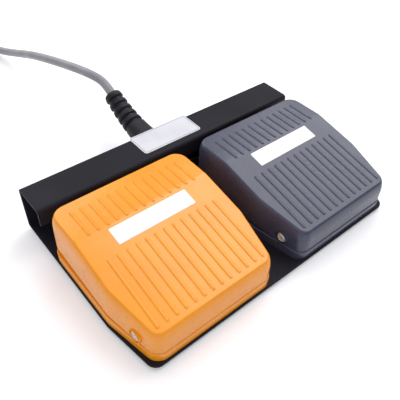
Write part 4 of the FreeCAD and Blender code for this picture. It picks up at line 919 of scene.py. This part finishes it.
# %% Labels
film_dents = (150, 2, 0.00005, 0.4)
label_film = cloudy("label_film", screen(247, 247, 248), screen(252, 252, 252), (70,), 0.32,
                    dents=film_dents)
silver_film = cloudy("silver_film", screen(206, 206, 213), screen(216, 216, 222), (70,), 0.34,
                     dents=film_dents)
label_ink = cloudy("label_ink", screen(84, 84, 90), screen(96, 96, 102), (200,), 0.4)


def make_label(name, size, matrix, film, body, node, corner=0.6, framed=False):
    """A thin card of a width and a depth, with rounded corners and maybe a printed frame."""
    shape = bmesh.new()
    verts = [shape.verts.new((x * size[0] / 2, y * size[1] / 2, 0.02))
             for x, y in ((1, 1), (-1, 1), (-1, -1), (1, -1))]
    shape.faces.new(verts)
    round_off(shape, verts, corner, 6, "VERTICES")
    face = shape.faces[:][0]
    draw_in(shape, [face], 0.05, 0.23)
    draw_in(shape, [face], 0.08, 0.03)
    if framed:
        draw_in(shape, [face], 0.75)
        for part in draw_in(shape, [face], 0.28):
            part.material_index = 1
    bmesh.ops.transform(shape, matrix=matrix, verts=shape.verts)
    label = add_object(shape, name, film, label_ink)
    shade(label, 60, weighted=False)
    place(label, body, "label_film", node)


from_crease, name_size, shelf_size = 8.2, (51, 11), (45.6, 19.4)
for colour, middle in centre_x.items():
    spot = Matrix.Translation((middle, crease_y - from_crease,
                               toe_top - from_crease * math.tan(slope)))
    make_label(f"{colour}_name_label", name_size, spot @ Matrix.Rotation(slope, 4, "X"),
               label_film, f"{colour}_pedal_body", f"{colour}_label")
make_label("shelf_label", shelf_size, Matrix.Translation((-0.7, 53.8, shelf_z)), silver_film,
           "base", "channel_label", corner=2.0, framed=True)

# %% [markdown]
# ## Return springs
# Each pedal is lifted by a coil spring of steel wire. A round section is spun round the spring's
# axis while it climbs by an even step, which is how the Spin tool makes a screw. When the pedal
# goes down the spring gets shorter. Here each spring is one fixed coil with a mesh of its own.

# %% Return springs
spring_steel = cloudy("spring_steel", screen(168, 168, 170), screen(192, 192, 195), (400,), 0.3,
                      metallic=1.0)
wire, coil_middle = 1.1, 4.45
spring_low, spring_rise, spring_turns = 5.55 + wire / 2, 23.4 - wire, 8
for colour, middle in centre_x.items():
    shape = bmesh.new()
    bmesh.ops.create_circle(shape, cap_ends=False, segments=10, radius=wire / 2,
                            matrix=Matrix.Translation((coil_middle, 0, 0)) @ ALONG["Y"])
    turns = spring_turns * 28
    bmesh.ops.spin(shape, geom=shape.verts[:] + shape.edges[:], axis=(0, 0, 1), cent=(0, 0, 0),
                   dvec=(0, 0, spring_rise / turns), angle=2 * math.pi * spring_turns, steps=turns)
    bmesh.ops.holes_fill(shape, edges=shape.edges, sides=0)
    bmesh.ops.recalc_face_normals(shape, faces=shape.faces)
    bmesh.ops.translate(shape, vec=(middle, spring_y, spring_low), verts=shape.verts)
    spring = add_object(shape, f"{colour}_return_spring", spring_steel)
    shade(spring, 50, weighted=False)
    place(spring, "base", "spring_steel", f"{colour}_spring")
    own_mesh(spring)

# %% [markdown]
# ## Wiring
# Inside the channel the jacket of the cable ends and two leads run to the housings, and in each
# housing two wires go to the tabs of the micro switch. Very little of this shows, but from the
# open ends of the channel the leads do, so they are smooth lines like the cable itself.

# %% Wiring
wire_core = cloudy("wire_core", screen(150, 38, 34), screen(170, 46, 40), (300,), 0.4)
switch_tail, spring_room, lead_z = 3.95, 24.6, 7.0
for colour, side in (("orange", -1), ("grey", 1)):
    begin = Vector((boot_x + side * 1.6, 54.25, boot_z))
    hole_x = centre_x[colour] - side * 20.0
    end = Vector((hole_x, switch_tail + 0.595 * spring_room, lead_z))
    lead = smooth_line(f"{colour}_wiring_lead", [
        begin, (begin.x, 49.75, begin.z), (begin.x + side * 4.5, 47.75, 12.5),
        ((begin.x + hole_x) / 2, 46.0, lead_z + 0.4), (hole_x - side * 2, 45.6, lead_z),
        (hole_x, 38.2, lead_z), end], 2.8, lead_jacket)
    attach(lead, "base")
    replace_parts(lead, f"{colour}_lead")
    both = bmesh.new()
    for i, tab_z in enumerate((8.0, 13.2)):
        start = end + Vector((-side * 0.7 * (1 - 2 * i), 0, 0))
        mouth = Vector((centre_x[colour] - side * 1.4, switch_tail, tab_z))
        line = smooth_line(f"{colour}_wire_{i}", [
            start, start - Vector((0, (0.145 + 0.062 * i) * spring_room, 0)),
            (hole_x + side * (4 + 2 * i), switch_tail + (0.269 - 0.041 * i) * spring_room,
             (lead_z + tab_z) / 2),
            (mouth.x - side * 6.5, switch_tail + 0.124 * spring_room, tab_z),
            mouth + Vector((0, 0.107 * spring_room, 0)), mouth], 1.2, wire_core, 3)
        both.from_mesh(bpy.data.meshes.new_from_object(line))
        bpy.data.objects.remove(line)
    bmesh.ops.scale(both, vec=(1 / MM, 1 / MM, 1 / MM), verts=both.verts)
    wires = add_object(both, f"{colour}_switch_wires", wire_core)
    shade(wires, 60, weighted=False)
    place(wires, "base", "core_insulation", f"{colour}_wires")

shape = spin_profile([(-8.55, 0.0), (-8.55, 2.9), (-8.35, 3.2), (-3.5, 3.2), (-3.5, 0.0)], 32)
bmesh.ops.transform(shape, verts=shape.verts, matrix=Matrix.Translation(
    (boot_x, plate_rear, boot_z)) @ ALONG["Y"])
bmesh.ops.recalc_face_normals(shape, faces=shape.faces)
jacket_end = add_object(shape, "jacket_end", cable_jacket)
shade(jacket_end, 50, weighted=False)
place(jacket_end, "base", "cable_jacket", "cable_inner")

# %% [markdown]
# ## Finishes of the pieces that stay
# Feet, screws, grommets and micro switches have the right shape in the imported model, so they stay
# and only get a better finish, through their own material slots.

# %% Finishes of the pieces that stay
moulded_dents = (900, 2, 0.00005, 0.4)
switch_plastic = cloudy("switch_plastic", screen(26, 26, 28), screen(34, 34, 36), (250,), 0.42,
                        dents=moulded_dents)
plunger_plastic = cloudy("plunger_plastic", screen(150, 32, 28), screen(172, 40, 34), (250,), 0.38,
                         dents=moulded_dents)
brass_tab = cloudy("brass_tab", screen(196, 164, 92), screen(214, 184, 112), (500,), 0.3,
                   metallic=1.0)
kept = {"foot": foot_rubber, "grommet": foot_rubber, "case": switch_plastic,
        "plunger": plunger_plastic, "terminals": brass_tab, "lever": bright_steel,
        "screws": bright_steel}
hidden = {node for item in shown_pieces() for node in item.get("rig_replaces", [])}
for node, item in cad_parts.items():
    if node in hidden:
        continue
    finish = next(finish for word, finish in kept.items() if word in node)
    for slot in item.material_slots:
        slot.material = finish
    print(node, "in", finish.name)

# %% [markdown]
# ## Floor
# The switch lies on a white sweep. It is white to the camera and to anything that mirrors it, by
# a little light of its own that lights nothing, so it keeps the soft shadow of the switch.

# %% Floor
floor_white, shader, _ = new_finish("floor_white", 0.7)
shader.inputs["Base Color"].default_value = (0.88, 0.88, 0.895, 1.0)
tree = floor_white.node_tree
seen = tree.nodes.new("ShaderNodeLightPath").outputs
share = seen["Is Camera Ray"]
for other in ("Is Glossy Ray", "Is Transmission Ray"):
    either = tree.nodes.new("ShaderNodeMath")
    either.operation = "MAXIMUM"
    tree.links.new(share, either.inputs[0])
    tree.links.new(seen[other], either.inputs[1])
    share = either.outputs[0]
weak = tree.nodes.new("ShaderNodeMath")
weak.operation = "MULTIPLY"
weak.inputs[1].default_value = 0.2
tree.links.new(share, weak.inputs[0])
glow = tree.nodes.new("ShaderNodeEmission")
glow.inputs["Color"].default_value = (0.96, 0.965, 1.0, 1.0)
tree.links.new(weak.outputs[0], glow.inputs["Strength"])
together = tree.nodes.new("ShaderNodeAddShader")
output = next(node for node in tree.nodes if node.type == "OUTPUT_MATERIAL")
tree.links.new(shader.outputs["BSDF"], together.inputs[0])
tree.links.new(glow.outputs["Emission"], together.inputs[1])
tree.links.new(together.outputs["Shader"], output.inputs["Surface"])

shape = bmesh.new()
bmesh.ops.create_grid(shape, x_segments=2, y_segments=2, size=4000)
floor = add_object(shape, "floor", floor_white)
print("floor in", floor_white.name)

# %% [markdown]
# ## Lamps
# A soft box hangs high up on the right. It is what the sloping tops mirror towards the camera, so
# it makes their broad pale sheen. A second one straight behind lifts the toes, and a wide weak
# one at the front left opens the walls.

# %% Lamps
def soft_box(name, way, away, width, watts):
    """A square soft box that points at the switch from a direction."""
    lamp = bpy.data.lights.new(name, "AREA")
    lamp.shape, lamp.size, lamp.energy = "SQUARE", width, watts
    box = bpy.data.objects.new(name, lamp)
    box.location = Vector(way).normalized() * away
    box.rotation_euler = Vector(way).to_track_quat("Z", "Y").to_euler()
    bpy.context.scene.collection.objects.link(box)


soft_box("key_box", (0.57, 0.18, 0.8), 1.4, 1.05, 10.0)
soft_box("fill_box", (-0.7, -0.6, 0.4), 2.0, 2.5, 6.0)
soft_box("back_box", (0.0, 0.85, 0.53), 1.6, 1.0, 7.0)

# %% [markdown]
# ## Room
# The room is dim near the floor and brighter overhead, which lets the walls of the pedals fade
# towards the floor. The camera itself sees an even near white.

# %% Room
world = bpy.data.worlds.new("room")
world.use_nodes = True
tree = world.node_tree
room = tree.nodes["Background"]
way = tree.nodes.new("ShaderNodeTexCoord")
parts = tree.nodes.new("ShaderNodeSeparateXYZ")
height = tree.nodes.new("ShaderNodeValToRGB")
low, high = height.color_ramp.elements
low.position, low.color = 0.05, (0.2, 0.2, 0.21, 1.0)
high.position, high.color = 0.6, (0.75, 0.75, 0.77, 1.0)
seen = tree.nodes.new("ShaderNodeLightPath")
choose = tree.nodes.new("ShaderNodeMix")
choose.data_type = "RGBA"
choose.inputs["B"].default_value = (0.95, 0.955, 0.965, 1.0)
tree.links.new(way.outputs["Generated"], parts.inputs[0])
tree.links.new(parts.outputs["Z"], height.inputs["Fac"])
tree.links.new(seen.outputs["Is Camera Ray"], choose.inputs["Factor"])
tree.links.new(height.outputs["Color"], choose.inputs["A"])
tree.links.new(choose.outputs["Result"], room.inputs["Color"])
bpy.context.scene.world = world
bpy.context.scene.view_settings.view_transform = "Standard"
print("world", world.name)
